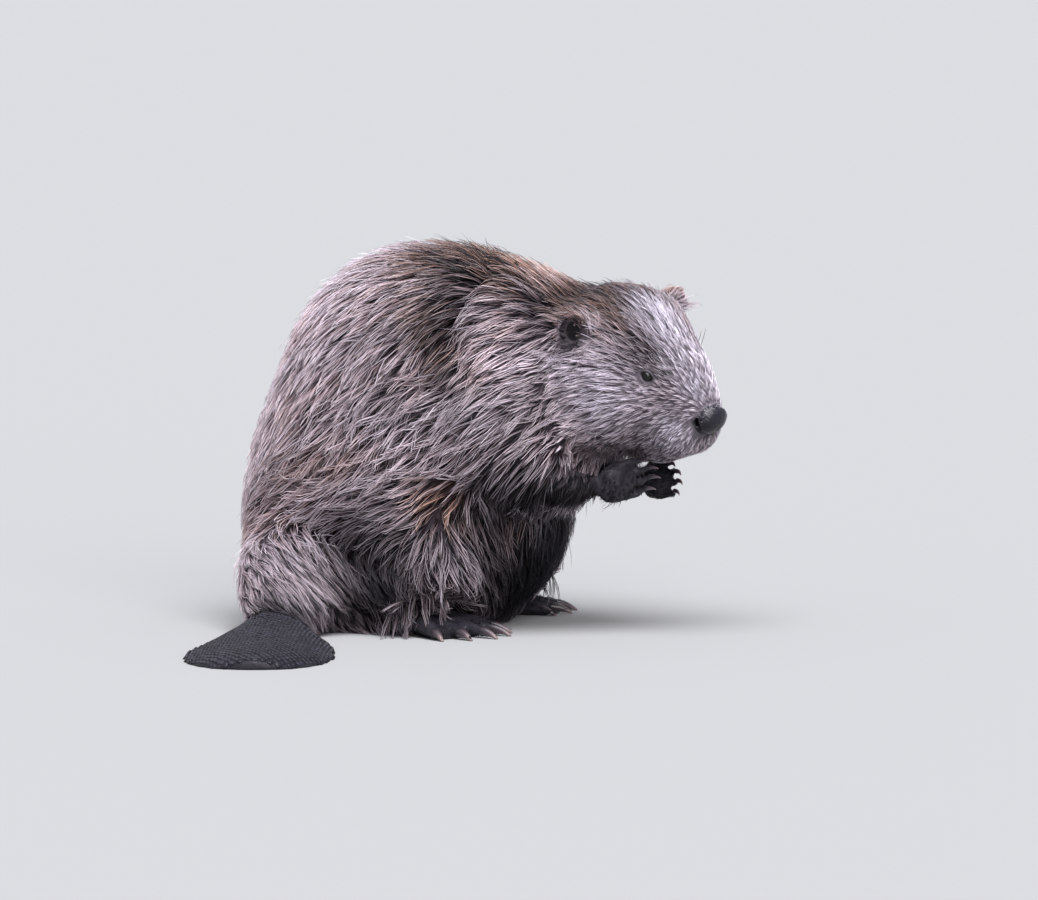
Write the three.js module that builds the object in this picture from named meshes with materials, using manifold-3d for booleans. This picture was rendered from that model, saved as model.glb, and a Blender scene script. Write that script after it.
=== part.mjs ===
// A Eurasian beaver at life size, sitting hunched on its haunches and holding both hands to its mouth.
// Millimetres, +Z up, floor at Z = 0. The animal faces +X, turned a little to its right, and its tail
// is swung round to its right side, towards -Y. The group's origin is under the middle of its box.
//
// The flesh is described by fields: each mass of muscle, fat and coat is an ellipsoid, and a smooth
// union blends them. A solid is made by pushing the points of a ball out to where the field is zero.
// Sizes reach to the tips of the coat. Neighbouring solids are parted by thin cuts.

import * as THREE from "three";
import { mergeVertices } from "three/addons/utils/BufferGeometryUtils.js";
import Module from "manifold-3d";

const wasm = await Module();
wasm.setup();

// ---------------------------------------------------------------- driving dimensions

const GAP = 0.4; // between neighbouring solids
const FLOOR_DEPTH = 60; // how far below the floor the trimming block reaches
const BLEND = 26; // how softly the masses of the trunk run into each other
const FACE_BLEND = 12; // the same on the head

const BODY_YAW = -20; // degrees: the trunk is turned to the animal's right
const BODY_AT = [-50, 0, 0];
const HEAD_YAW = -39;
const HEAD_PITCH = 27; // nose down
const HEAD_ROLL = 11; // left ear up
const NOSE_TIP = [207, -120, 181];

const EYE_RADIUS = 6.6;
const EYE_AT = [-61, 11]; // in the head's frame, forwards and up; across, they lie on the skin
const EYE_DEPTH = 4.8; // of the ball's centre below the coat
const EAR_AT = { left: [-120, 24], right: [-127, 23] };
const EAR_SIZE = [6, 14, 17]; // half thickness, half width, half height
const EAR_DEPTH = -1; // the middle of the shell stands clear of the coat

const ELBOW_AT = [132, 72, 132]; // in the trunk's frame; Y is mirrored for the right side
const HAND = {
  left: { wrist: [142, -24, 116], yaw: -44, pitch: -12 },
  right: { wrist: [103, -106, 119], yaw: 16, pitch: -14 },
};
const FOOT = {
  left: { heel: [-66, 54, 0], yaw: 8 },
  right: { heel: [-92, -50, 0], yaw: -43 },
};
const TAIL_PADDLE = { length: 255, width: 122, thickness: 17 };

const FUR = new THREE.MeshStandardMaterial({ color: 0x6f5b4e, roughness: 0.9, metalness: 0 });
const BARE_SKIN = new THREE.MeshStandardMaterial({ color: 0x2c2628, roughness: 0.55, metalness: 0 });
const TAIL_SCALES = new THREE.MeshStandardMaterial({ color: 0x252224, roughness: 0.6, metalness: 0 });
const EYE = new THREE.MeshStandardMaterial({ color: 0x0b0908, roughness: 0.08, metalness: 0 });

// ---------------------------------------------------------------- frames

const radians = THREE.MathUtils.degToRad;
const vec = (x, y, z) => new THREE.Vector3(x, y, z);

// A frame that is rolled about X, then pitched nose down about Y, then yawed about Z.
function frame(at, yaw = 0, pitch = 0, roll = 0) {
  const turn = new THREE.Euler(radians(roll), radians(pitch), radians(yaw), "ZYX");
  return new THREE.Matrix4().compose(
    vec(...at),
    new THREE.Quaternion().setFromEuler(turn),
    vec(1, 1, 1),
  );
}

const WORLD = frame([0, 0, 0]);
const BODY = frame(BODY_AT, BODY_YAW);
const HEAD = frame(NOSE_TIP, HEAD_YAW, HEAD_PITCH, HEAD_ROLL);
const place = (base, at) => vec(...at).applyMatrix4(base);

// ---------------------------------------------------------------- fields

// An ellipsoid of the given half sizes, placed and turned in a base frame.
function mass(base, at, radii, yaw = 0, pitch = 0, roll = 0) {
  const inverse = base.clone().multiply(frame(at, yaw, pitch, roll)).invert();
  const q = vec(0, 0, 0);
  const [a, b, c] = radii;
  return (p) => {
    q.copy(p).applyMatrix4(inverse);
    const near = Math.hypot(q.x / a, q.y / b, q.z / c);
    const slope = Math.hypot(q.x / (a * a), q.y / (b * b), q.z / (c * c));
    return slope > 1e-9 ? (near * (near - 1)) / slope : -Math.min(a, b, c);
  };
}

function pair(base, at, radii, yaw = 0, pitch = 0, roll = 0) {
  const [x, y, z] = at;
  return [
    mass(base, [x, y, z], radii, yaw, pitch, roll),
    mass(base, [x, -y, z], radii, -yaw, pitch, -roll),
  ];
}

// Joins masses so that they run into each other over about the given distance.
function blended(masses, softness) {
  return (p) => {
    let d = masses[0](p);
    for (let i = 1; i < masses.length; i++) {
      const e = masses[i](p);
      const h = Math.max(softness - Math.abs(d - e), 0) / softness;
      d = Math.min(d, e) - (h * h * softness) / 4;
    }
    return d;
  };
}

// A flat wall as a field: negative on the side its direction points to.
function wall(base, { at, way }, shift = 0) {
  const point = place(base, at);
  const normal = place(base, way).sub(place(base, [0, 0, 0])).normalize();
  return (p) => normal.dot(point) - normal.dot(p) + shift;
}

// A field kept to the near side of some walls.
const kept = (field, walls) => (p) => Math.max(field(p), ...walls.map((w) => w(p)));

// ---------------------------------------------------------------- solids

const MARCH = 3; // step along a ray while looking for the surface
const REACH = 420; // no surface is further than this from its centre
const HALVINGS = 12;

// A manifold-3d solid from a closed three.js geometry.
function solid(geometry) {
  const bare = geometry.index ? geometry.toNonIndexed() : geometry.clone();
  const points = new THREE.BufferGeometry().setAttribute("position", bare.getAttribute("position"));
  const merged = mergeVertices(points, 1e-3);
  const made = new wasm.Manifold(
    new wasm.Mesh({
      numProp: 3,
      vertProperties: new Float32Array(merged.attributes.position.array),
      triVerts: new Uint32Array(merged.index.array),
    }),
  );
  if (made.volume() <= 0) throw new Error("a solid is inside out");
  return made;
}

// Pushes the points of a ball out from a centre to the surface of a field, grown by a clearance.
function wrapped(field, centre, detail, grow = 0) {
  const ball = mergeVertices(
    new THREE.BufferGeometry().setAttribute(
      "position",
      new THREE.IcosahedronGeometry(1, detail).getAttribute("position"),
    ),
    1e-4,
  );
  const spots = ball.getAttribute("position");
  const way = vec(0, 0, 0);
  const p = vec(0, 0, 0);
  for (let i = 0; i < spots.count; i++) {
    way.fromBufferAttribute(spots, i).normalize();
    let inside = 0;
    let outside = MARCH;
    while (outside < REACH && field(p.copy(centre).addScaledVector(way, outside)) < grow) {
      inside = outside;
      outside += MARCH;
    }
    for (let k = 0; k < HALVINGS; k++) {
      const middle = (inside + outside) / 2;
      if (field(p.copy(centre).addScaledVector(way, middle)) < grow) inside = middle;
      else outside = middle;
    }
    p.copy(centre).addScaledVector(way, outside);
    spots.setXYZ(i, p.x, p.y, p.z);
  }
  return solid(ball);
}

// A closed ball of three.js, stretched to half sizes and placed in a frame.
function ball(base, at, radii, grow = 0, detail = 3, yaw = 0, pitch = 0, roll = 0) {
  const shape = new THREE.IcosahedronGeometry(1, detail);
  shape.scale(...radii.map((r) => r + grow));
  shape.applyMatrix4(base.clone().multiply(frame(at, yaw, pitch, roll)));
  return solid(shape);
}

// A half space as a big block: its face passes through a point and looks along a direction.
function beyond(point, direction, shift = 0) {
  const size = 900;
  const block = new THREE.BoxGeometry(size, size, size).translate(0, 0, size / 2 + shift);
  const turn = new THREE.Quaternion().setFromUnitVectors(vec(0, 0, 1), direction.clone().normalize());
  block.applyQuaternion(turn).translate(point.x, point.y, point.z);
  return solid(block);
}

// A closed skin over rings of points, all with the same number of points, capped at both ends.
function lofted(rings) {
  const sides = rings[0].length;
  const places = rings.flat();
  const first = places.length;
  const last = first + 1;
  for (const ring of [rings[0], rings[rings.length - 1]]) {
    const middle = vec(0, 0, 0);
    ring.forEach((p) => middle.addScaledVector(p, 1 / sides));
    places.push(middle);
  }
  const faces = [];
  for (let i = 0; i < sides; i++) {
    const j = (i + 1) % sides;
    faces.push(first, j, i);
    for (let r = 0; r + 1 < rings.length; r++) {
      const [a, b] = [r * sides + i, r * sides + j];
      faces.push(a, b, b + sides, a, b + sides, a + sides);
    }
    const end = (rings.length - 1) * sides;
    faces.push(last, end + i, end + j);
  }
  const geometry = new THREE.BufferGeometry().setFromPoints(places);
  geometry.setIndex(faces);
  return solid(geometry);
}

// A tapering limb, finger or claw: a round tube along a smooth line through the given points.
function limb(points, radii, sides = 8, steps = 6, grow = 0) {
  const line = new THREE.CatmullRomCurve3(points.map((p) => vec(...p)));
  const size = new THREE.SplineCurve(radii.map((r, i) => new THREE.Vector2(i, r)));
  const frames = line.computeFrenetFrames(steps, false);
  const rings = [];
  const ROUND_END = 0.6; // the end rings are drawn in so that the ends look round
  for (let k = 0; k <= steps; k++) {
    const middle = line.getPoint(k / steps);
    const full = size.getPoint(k / steps).y + grow;
    const r = k === 0 || k === steps ? full * ROUND_END : full;
    const ring = [];
    for (let i = 0; i < sides; i++) {
      const turn = (2 * Math.PI * i) / sides;
      ring.push(
        middle
          .clone()
          .addScaledVector(frames.normals[k], Math.cos(turn) * r)
          .addScaledVector(frames.binormals[k], Math.sin(turn) * r),
      );
    }
    rings.push(ring);
  }
  return lofted(rings);
}

const joined = (solids) => solids.reduce((a, b) => a.add(b));

// The biggest of the pieces that the cuts have left.
const biggest = (made) =>
  made.decompose().reduce((a, b) => (a.volume() > b.volume() ? a : b));
const FLOOR = beyond(vec(0, 0, 0), vec(0, 0, -1));

// ---------------------------------------------------------------- the flesh

// Trunk and neck, in the trunk's frame: X forwards, Y to the animal's left.
const TRUNK_MASSES = [
  mass(BODY, [-36, 0, 96], [104, 125, 104]), // rump
  mass(BODY, [-12, 0, 150], [112, 118, 84]), // flanks
  mass(BODY, [11, 0, 190], [119, 117, 128]), // back
  mass(BODY, [72, 0, 239], [84, 90, 72], 0, 22), // withers
  mass(BODY, [44, 0, 62], [82, 98, 62]), // belly
  mass(BODY, [78, 0, 130], [74, 90, 90]), // chest
  mass(BODY, [130, 8, 206], [78, 55, 78], 0, 20), // neck
];
const SHOULDER_AT = [84, 68, 158];
const ARM_MASSES = [
  ...pair(BODY, SHOULDER_AT, [60, 42, 70], 0, 18), // shoulders
  ...pair(BODY, ELBOW_AT, [38, 27, 27], 0, -10), // elbows
];
const HAUNCH_AT = [18, 92, 55];
const HAUNCH_TURN = 16;
const LEG_MASSES = [
  ...pair(BODY, HAUNCH_AT, [74, 46, 62], HAUNCH_TURN, 8), // thighs
  ...pair(BODY, [62, 104, 40], [32, 28, 40], HAUNCH_TURN), // knees
  ...pair(BODY, [26, 66, 104], [66, 44, 50]), // folds of the flank
];

// Tail root: the furred cone that comes out of the rump and swings round to the right side.
const TAIL_ROOT_MASSES = [
  mass(WORLD, [-143, -52, 50], [44, 62, 50], 0, 0, 18),
  mass(WORLD, [-149, -98, 31], [43, 70, 30], 0, 0, 13),
];

// Head, in its own frame: origin at the tip of the nose, X forwards, Y to the left, Z up.
const HEAD_MASSES = [
  mass(HEAD, [-110, 0, 2], [60, 57, 50]), // braincase
  mass(HEAD, [-70, 0, 3], [52, 34, 33]), // forehead
  mass(HEAD, [-30, 0, -5], [27, 19, 19]), // bridge
  mass(HEAD, [-40, 0, -27], [32, 30, 27]), // muzzle
  ...pair(HEAD, [-29, 13, -32], [18, 18, 19]), // whisker pads
  mass(HEAD, [-66, 0, -54], [38, 27, 22]), // lower jaw
  ...pair(HEAD, [-70, 24, -27], [32, 20, 32]), // cheeks before the jaw muscle
  ...pair(HEAD, [-100, 34, -26], [46, 34, 44]), // jaw muscle
  mass(HEAD, [-122, 0, -28], [50, 60, 50]), // throat
];

const flesh = blended(
  [...TRUNK_MASSES, ...ARM_MASSES, ...LEG_MASSES, ...TAIL_ROOT_MASSES],
  BLEND,
);
const whole = blended([flesh, blended(HEAD_MASSES, FACE_BLEND)], BLEND);

// ---------------------------------------------------------------- nodes

const model = new THREE.Group();

function node(name, made, material) {
  const m = biggest(made).getMesh();
  const geometry = new THREE.BufferGeometry();
  geometry.setAttribute("position", new THREE.BufferAttribute(new Float32Array(m.vertProperties), 3));
  geometry.setIndex(new THREE.BufferAttribute(new Uint32Array(m.triVerts), 1));
  geometry.computeVertexNormals();
  const mesh = new THREE.Mesh(geometry, material);
  mesh.name = name;
  model.add(mesh);
}

const SIDES = [
  { name: "left", side: 1 },
  { name: "right", side: -1 },
];
const bothSides = (make) => joined(SIDES.map(({ name, side }) => make(name, side)));

// The point of the head's frame that lies a depth below the skin, straight out to one side.
function besideHead([x, z], side, depth) {
  let y = 0;
  while (whole(place(HEAD, [x, side * y, z])) < -depth) y += 0.2;
  return [x, side * y, z];
}

// Each part below is a function of a clearance, so that its neighbours can be cut back from it.

// ---- eyes, ears and nose

const EYES = { 1: besideHead(EYE_AT, 1, EYE_DEPTH), "-1": besideHead(EYE_AT, -1, EYE_DEPTH) };
const eye = (side, grow = 0) =>
  ball(HEAD, EYES[side], [EYE_RADIUS, EYE_RADIUS, EYE_RADIUS], grow, 1);

// Round shells, hollow in front, that stand out from the sides of the head. The right ear looks
// forwards and the left one out to its side.
const EAR_TURN = {
  left: { yaw: 78, pitch: 24, roll: -30 },
  right: { yaw: 16, pitch: -8, roll: 34 },
};
const EAR_WALL = 2.4;
function ear(name, side, grow = 0) {
  const { yaw, pitch, roll } = EAR_TURN[name];
  const at = besideHead(EAR_AT[name], side, EAR_DEPTH);
  const base = HEAD.clone().multiply(frame(at, side * yaw, pitch, -side * roll));
  const outside = ball(base, [0, 0, 0], EAR_SIZE, grow, 2);
  if (grow > 0) return outside;
  const [half, width, height] = EAR_SIZE;
  const bowl = [half + 2, width - EAR_WALL, height - EAR_WALL];
  return outside.subtract(ball(base, [half + 1, 0, 1], bowl, 0, 2));
}

// The bare pad round the nostrils.
const NOSE_SIZE = [12, 16.5, 14.5];
const NOSTRIL_SIZE = [4.5, 3, 2.6];
function nose(grow = 0) {
  const pad = ball(HEAD, [-10, 0, -9], NOSE_SIZE, grow, 2, 0, 10);
  if (grow > 0) return pad;
  const nostrils = SIDES.map(({ side }) =>
    ball(HEAD, [-11, side * 15.5, -11], NOSTRIL_SIZE, 0, 1, side * 20, 30),
  );
  return nostrils.reduce((a, b) => a.subtract(b), pad);
}

// ---- hands: palms towards each other, fingers one above the other, curled in towards the palm

const PALM_SIZE = [20, 10, 15];
const FINGER_LENGTHS = [24, 29, 29, 24];
const FINGER_PITCH = 8.6; // from one finger to the next
const FINGER_RADIUS = 4.1;
const HAND_CLAW = { length: 11, radius: 2.1, tip: 0.8 };

function hand(name, side, grow = 0) {
  const { wrist, yaw, pitch } = HAND[name];
  const base = frame(wrist, yaw, pitch);
  const at = (x, y, z) => place(base, [x, -side * y, z]).toArray(); // y is towards the palm
  const pieces = [ball(base, [18, 0, 0], PALM_SIZE, grow, 1)];
  FINGER_LENGTHS.forEach((length, i) => {
    const z = (1.5 - i) * FINGER_PITCH;
    const root = 28 - Math.abs(z) * 0.25;
    const end = [root + length * 0.88, length * 0.32, z * 0.92];
    const r = FINGER_RADIUS;
    const { length: claw, radius, tip } = HAND_CLAW;
    pieces.push(
      limb(
        [at(root - 8, 1, z), at(root + length * 0.45, 0, z * 1.05), at(...end)],
        [r + 0.6, r, r * 0.8],
        5,
        2,
        grow,
      ),
      limb(
        [at(end[0] - 3, end[1] - 1, end[2]), at(end[0] + claw * 0.6, end[1] + claw * 0.8, end[2] - 3)],
        [radius, tip],
        4,
        1,
        grow,
      ),
    );
  });
  // the short thumb, on the inside of the palm
  pieces.push(limb([at(18, 6, 12), at(27, 12, 13), at(33, 15, 12)], [5, 4.4, 2.6], 6, 2, grow));
  return joined(pieces);
}

// ---- forearms: from the elbow to the wrist

const FOREARM_RADII = [24, 20, 14];
function forearm(name, side, grow = 0) {
  const [x, y, z] = ELBOW_AT;
  const elbow = place(BODY, [x - 6, side * y, z - 2]).toArray();
  const { wrist, yaw, pitch } = HAND[name];
  const hold = place(frame(wrist, yaw, pitch), [8, 0, 0]).toArray();
  const middle = elbow.map((e, i) => (e + hold[i]) / 2 - (i === 2 ? 3 : 0));
  return limb([elbow, middle, hold], FOREARM_RADII, 10, 3, grow);
}

// ---- hind feet: a broad sole that fans out into five webbed toes

const SOLE = [
  { x: 3, half: 11, height: 20, room: 0 }, // x: distance from the heel
  { x: 14, half: 19, height: 34, room: 0 },
  { x: 44, half: 23, height: 40, room: 2 },
  { x: 68, half: 27, height: 29, room: 7 }, // room: how far the toes stand out of it
  { x: 100, half: 37, height: 18, room: 11 },
  { x: 127, half: 45, height: 10, room: 10 },
];
const TOE_ROOM = { x: 162, half: 44, height: 6, room: 9 };
const SOLE_SINK = 1.5; // how far the sole is cut off flat
const TOE_LENGTHS = [48, 60, 66, 62, 52]; // from the inner toe to the outer one
const TOE_SPREAD = 12; // degrees from toe to toe
const TOE_ROOT = 78; // from the heel
const TOE_PITCH = 9; // from toe to toe at their roots
const TOE_RADIUS = 7.5;
const FOOT_CLAW = { length: 13, radius: 4.2, tip: 1.6 };

function foot(name, side, grow = 0) {
  const base = frame(FOOT[name].heel, FOOT[name].yaw);
  const ringSides = 8;
  const rows = grow > 0 ? [...SOLE, TOE_ROOM] : SOLE;
  const end = rows.length - 1;
  const rings = rows.map(({ x, half, height, room }, k) => {
    const out = k === 0 ? -grow : k === end ? grow : 0;
    const spare = grow > 0 ? room + grow : 0;
    return Array.from({ length: ringSides }, (_, i) => {
      const turn = (2 * Math.PI * i) / ringSides;
      const up = height / 2 - SOLE_SINK + Math.sin(turn) * (height / 2 + spare);
      return place(base, [x + out, Math.cos(turn) * (half + spare), up]);
    });
  });
  if (grow > 0) return lofted(rings);
  const pieces = [lofted(rings)];
  TOE_LENGTHS.forEach((length, i) => {
    const across = (i - 2) * side;
    const turn = radians(across * TOE_SPREAD);
    const along = (d, z) =>
      place(base, [TOE_ROOT + d * Math.cos(turn), d * Math.sin(turn) + across * TOE_PITCH, z]).toArray();
    const r = TOE_RADIUS;
    const { length: claw, radius, tip } = FOOT_CLAW;
    pieces.push(
      limb([along(0, 13), along(length * 0.55, 9), along(length, 5.5)], [r + 2, r, r * 0.8], 5, 2),
      limb([along(length - 3, 5.5), along(length + claw, 2.5)], [radius, tip], 4, 1),
    );
  });
  return joined(pieces).subtract(FLOOR);
}

// ---- tail: a flat scaly paddle behind a furred root

const PADDLE_BASE = frame([-160, -138, 0], -93);
const PADDLE_WIDTHS = [0.5, 0.68, 0.86, 0.97, 1, 0.93, 0.74, 0.46, 0.16]; // shares of the full width
const PADDLE_HEIGHTS = [1.5, 1.3, 1.12, 1, 0.92, 0.82, 0.7, 0.56, 0.4]; // shares of the thickness
const PADDLE_RIM = 3; // height of the rounded rim

function paddle(grow = 0) {
  const { length, width, thickness } = TAIL_PADDLE;
  const across = 10;
  const last = PADDLE_WIDTHS.length - 1;
  const rings = PADDLE_WIDTHS.map((share, k) => {
    const out = k === 0 ? -grow : k === last ? grow : 0;
    const x = length * Math.sin(((Math.PI / 2) * k) / last) ** 1.15 + out;
    const half = (width / 2) * share + grow;
    const rise = thickness * PADDLE_HEIGHTS[k] - PADDLE_RIM / 2;
    const ring = [];
    for (let i = 0; i <= across; i++) {
      const y = Math.cos((Math.PI * i) / across);
      ring.push(place(PADDLE_BASE, [x, y * half, PADDLE_RIM / 2 + rise * (1 - y * y) + grow]));
    }
    for (let i = across - 1; i > 0; i -= 2) {
      const y = Math.cos((Math.PI * i) / across);
      ring.push(place(PADDLE_BASE, [x, y * (half - PADDLE_RIM / 2), -grow]));
    }
    return ring;
  });
  return lofted(rings);
}

// ---- where the flesh is parted

const NECK_START = { at: [88, 0, 214], way: [0.84, 0, 0.54] }; // in the trunk's frame
const HEAD_START = { at: [-138, 0, 0], way: [0.9, 0, 0.44] }; // in the head's frame
const HEAD_ROOM = { at: [-78, 0, -10], radii: [100, 84, 80] }; // holds the head and no more
const MARGIN = 32; // how far a skin runs past its cut
const past = (base, { at, way }, shift = 0) =>
  beyond(place(base, at), place(base, way).sub(place(base, [0, 0, 0])), shift);
const back = ({ at, way }) => ({ at, way: way.map((w) => -w) });

const headSeat = (grow = 0) =>
  ball(HEAD, HEAD_ROOM.at, HEAD_ROOM.radii, grow, 2).intersect(past(HEAD, HEAD_START, -grow));
const thighSeat = (side, grow = 0) => {
  const [x, y, z] = HAUNCH_AT;
  return ball(BODY, [x + 8, side * (y + 10), z], [84, 56, 72], grow, 1, side * HAUNCH_TURN, 6);
};
const armSeat = (side, grow = 0) => {
  const [x, y, z] = SHOULDER_AT;
  return ball(BODY, [x + 26, side * (y + 18), z - 2], [54, 42, 60], grow, 1, 0, 34);
};
const rootSeat = (grow = 0) => ball(WORLD, [-166, -112, 26], [62, 74, 62], grow, 1);
const jawSeat = (grow = 0) => ball(HEAD, [-56, 0, -72], [41, 32, 28], grow, 1, 0, 4);

const thighSeats = bothSides((_, side) => thighSeat(side, GAP));
const armSeats = bothSides((_, side) => armSeat(side, GAP));
const forearms = bothSides((name, side) => forearm(name, side, GAP));
const ears = bothSides((name, side) => ear(name, side, GAP));
const feet = bothSides((name, side) => foot(name, side, GAP));

// ---- the flesh, part by part

node(
  "trunk",
  wrapped(kept(whole, [wall(BODY, back(NECK_START), -MARGIN)]), place(BODY, [0, 0, 150]), 5)
    .subtract(past(BODY, NECK_START, -GAP))
    .subtract(thighSeats)
    .subtract(armSeats)
    .subtract(forearms)
    .subtract(rootSeat(GAP))
    .subtract(feet)
    .subtract(FLOOR),
  FUR,
);

node(
  "neck",
  wrapped(kept(whole, [wall(BODY, NECK_START, -MARGIN)]), place(BODY, [134, 0, 200]), 4)
    .intersect(past(BODY, NECK_START))
    .subtract(headSeat(GAP))
    .subtract(ears)
    .subtract(armSeats)
    .subtract(forearms),
  FUR,
);

const headWalls = [mass(HEAD, HEAD_ROOM.at, HEAD_ROOM.radii.map((r) => r + MARGIN / 2))];
headWalls.push(wall(HEAD, HEAD_START, -MARGIN));
const headSkin = wrapped(kept(whole, headWalls), place(HEAD, [-80, 0, -16]), 5)
  .intersect(headSeat())
  .intersect(past(BODY, NECK_START, GAP))
  .subtract(nose(GAP))
  .subtract(armSeats)
  .subtract(forearms)
  .subtract(ears)
  .subtract(bothSides((_, side) => eye(side, GAP)));
node("head", headSkin.subtract(jawSeat(GAP)), FUR);
node("lower_jaw", headSkin.intersect(jawSeat()), FUR);
node("nose", nose(), BARE_SKIN);

for (const { name, side } of SIDES) {
  node("eye_" + name, eye(side), EYE);
  node("ear_" + name, ear(name, side), FUR);
  node("hand_" + name, hand(name, side), BARE_SKIN);
  node("forearm_" + name, forearm(name, side).subtract(armSeats).subtract(hand(name, side, GAP)), FUR);

  const [sx, sy, sz] = SHOULDER_AT;
  node(
    "upper_arm_" + name,
    wrapped(flesh, place(BODY, [sx + 14, side * (sy - 16), sz]), 3).intersect(armSeat(side)),
    FUR,
  );

  const [hx, hy, hz] = HAUNCH_AT;
  node(
    "haunch_" + name,
    wrapped(flesh, place(BODY, [hx + 4, side * (hy - 26), hz + 8]), 3)
      .intersect(thighSeat(side))
      .subtract(foot(name, side, GAP))
      .subtract(rootSeat(GAP))
      .subtract(armSeats)
      .subtract(FLOOR),
    FUR,
  );
  node("hind_foot_" + name, foot(name, side), BARE_SKIN);
}

node(
  "tail_root",
  wrapped(flesh, vec(-156, -92, 34), 3)
    .intersect(rootSeat())
    .subtract(paddle(GAP))
    .subtract(FLOOR),
  FUR,
);
node("tail_paddle", paddle(), TAIL_SCALES);

// The origin is put under the middle of the whole, on the floor.
const middle = new THREE.Box3().setFromObject(model).getCenter(vec(0, 0, 0));
model.children.forEach((mesh) => mesh.position.set(-middle.x, -middle.y, 0));

export default model;
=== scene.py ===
import math

import bmesh
import bpy
import numpy as np
from mathutils import Euler, Matrix, Vector
from mathutils.bvhtree import BVHTree


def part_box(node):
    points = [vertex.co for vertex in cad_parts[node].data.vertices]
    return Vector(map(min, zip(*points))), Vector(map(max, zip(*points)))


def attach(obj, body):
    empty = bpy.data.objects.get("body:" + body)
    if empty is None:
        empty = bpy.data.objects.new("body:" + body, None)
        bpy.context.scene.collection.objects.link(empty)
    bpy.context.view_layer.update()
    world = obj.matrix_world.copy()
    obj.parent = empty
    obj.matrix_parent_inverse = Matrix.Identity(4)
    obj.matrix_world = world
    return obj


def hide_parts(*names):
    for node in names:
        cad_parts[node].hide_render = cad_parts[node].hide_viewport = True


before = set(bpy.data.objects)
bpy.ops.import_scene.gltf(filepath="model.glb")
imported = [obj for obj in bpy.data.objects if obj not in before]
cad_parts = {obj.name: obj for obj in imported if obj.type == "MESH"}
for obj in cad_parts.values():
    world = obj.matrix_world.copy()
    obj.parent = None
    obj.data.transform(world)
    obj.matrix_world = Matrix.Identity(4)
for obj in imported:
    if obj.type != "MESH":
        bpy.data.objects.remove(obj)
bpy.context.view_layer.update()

# ---------------------------------------------------------------- hide
# The whole skin of the beaver in one piece, from the nose pad to the tip of the tail, with the soles
# and palms. It is the flesh of all the parts run together and drawn in by the depth of the coat that
# stands on it. Bare on the nose, hands, feet and tail, and dark underfur everywhere else, dark partly
# as painted shade between the locks. The nostrils and the insides of the ears carry painted shade.

MM = 0.001
rng = np.random.default_rng(18)
EYEBALLS = ("eye_left", "eye_right")
FLESH = [name for name in sorted(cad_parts) if name not in EYEBALLS]


# The animal's own frames, as its solids were laid out: X forwards, Y to its left, Z up.
def turned(yaw, pitch=0, roll=0):
    turn = Euler((math.radians(roll), math.radians(pitch), math.radians(yaw)), "XYZ")
    return np.array(turn.to_matrix())


def middle_of(name):
    low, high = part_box(name)
    return (np.array(low) + np.array(high)) / 2


HEAD_TURN = turned(-39, 27, 11)
BODY_TURN = turned(-20)
NOSE_PAD = np.array([-10, 0, -9]) * MM  # the middle of the pad, from the tip of the nose
NOSE_TIP = np.array([207, -120, 181]) * MM  # from the spot of the floor that all is laid out from
BODY_SPOT = np.array([-50, 0, 0]) * MM
HEAD_AT = middle_of("nose") - HEAD_TURN @ NOSE_PAD
LAYOUT_AT = HEAD_AT - NOSE_TIP
BODY_AT = LAYOUT_AT + BODY_SPOT
FRAMES = {"head": (HEAD_AT, HEAD_TURN), "body": (BODY_AT, BODY_TURN)}


def in_head(spots):
    return (np.asarray(spots) - HEAD_AT) @ HEAD_TURN


# Where each hand and foot is held: its wrist or heel, its yaw and its pitch.
HANDS = {
    "hand_left": (np.array([142, -24, 116]) * MM + LAYOUT_AT, turned(-44, -12)),
    "hand_right": (np.array([103, -106, 119]) * MM + LAYOUT_AT, turned(16, -14)),
}
FEET = {
    "hind_foot_left": (np.array([-66, 54, 0]) * MM + LAYOUT_AT, turned(8)),
    "hind_foot_right": (np.array([-92, -50, 0]) * MM + LAYOUT_AT, turned(-43)),
}


def linked(name, data):
    """A new object of this name in the scene."""
    made = bpy.data.objects.new(name, data)
    bpy.context.scene.collection.objects.link(made)
    return made


def shown(name, form):
    """A new smooth piece from a bmesh, which is used up."""
    mesh = bpy.data.meshes.new(name)
    for face in form.faces:
        face.smooth = True
    form.to_mesh(mesh)
    form.free()
    return linked(name, mesh)


def settled(piece):
    """Applies the piece's modifiers."""
    graph = bpy.context.evaluated_depsgraph_get()
    made = bpy.data.meshes.new_from_object(piece.evaluated_get(graph), depsgraph=graph)
    piece.modifiers.clear()
    old = piece.data
    piece.data = made
    bpy.data.meshes.remove(old)


CUT = 0.5 * MM  # each part swells by this, which closes the cuts between the parts
WELD = 0.01 * MM
PALM = 26 * MM  # from the wrist; past it the fingers are thinned, so that they stay apart
FINGER_THINNING = -0.6 * MM
GRAIN = 1.4 * MM
flesh = bmesh.new()
for name in (*FLESH, *EYEBALLS):
    first = len(flesh.verts)
    flesh.from_mesh(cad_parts[name].data)
    bmesh.ops.remove_doubles(flesh, verts=flesh.verts[first:], dist=WELD)
    flesh.normal_update()
    flesh.verts.ensure_lookup_table()
    for v in flesh.verts[first:]:
        swell = CUT
        if name in HANDS:
            wrist, turn = HANDS[name]
            if ((np.array(v.co) - wrist) @ turn)[0] > PALM:
                swell = FINGER_THINNING
        v.co += v.normal * swell
hide = shown("hide", flesh)
grain = hide.modifiers.new("grain", "REMESH")
grain.mode = "VOXEL"
grain.voxel_size = GRAIN
settled(hide)


def read(items, field, width, kind=float):
    """The numbers that each item of a mesh has in a field, as rows of this width."""
    held = np.empty(len(items) * width, kind)
    items.foreach_get(field, held)
    return held.reshape(-1, width)


def points_and_pairs():
    """The points of the hide, and the pairs of them that its edges join."""
    return read(hide.data.vertices, "co", 3), read(hide.data.edges, "vertices", 2, np.int32)


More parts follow.
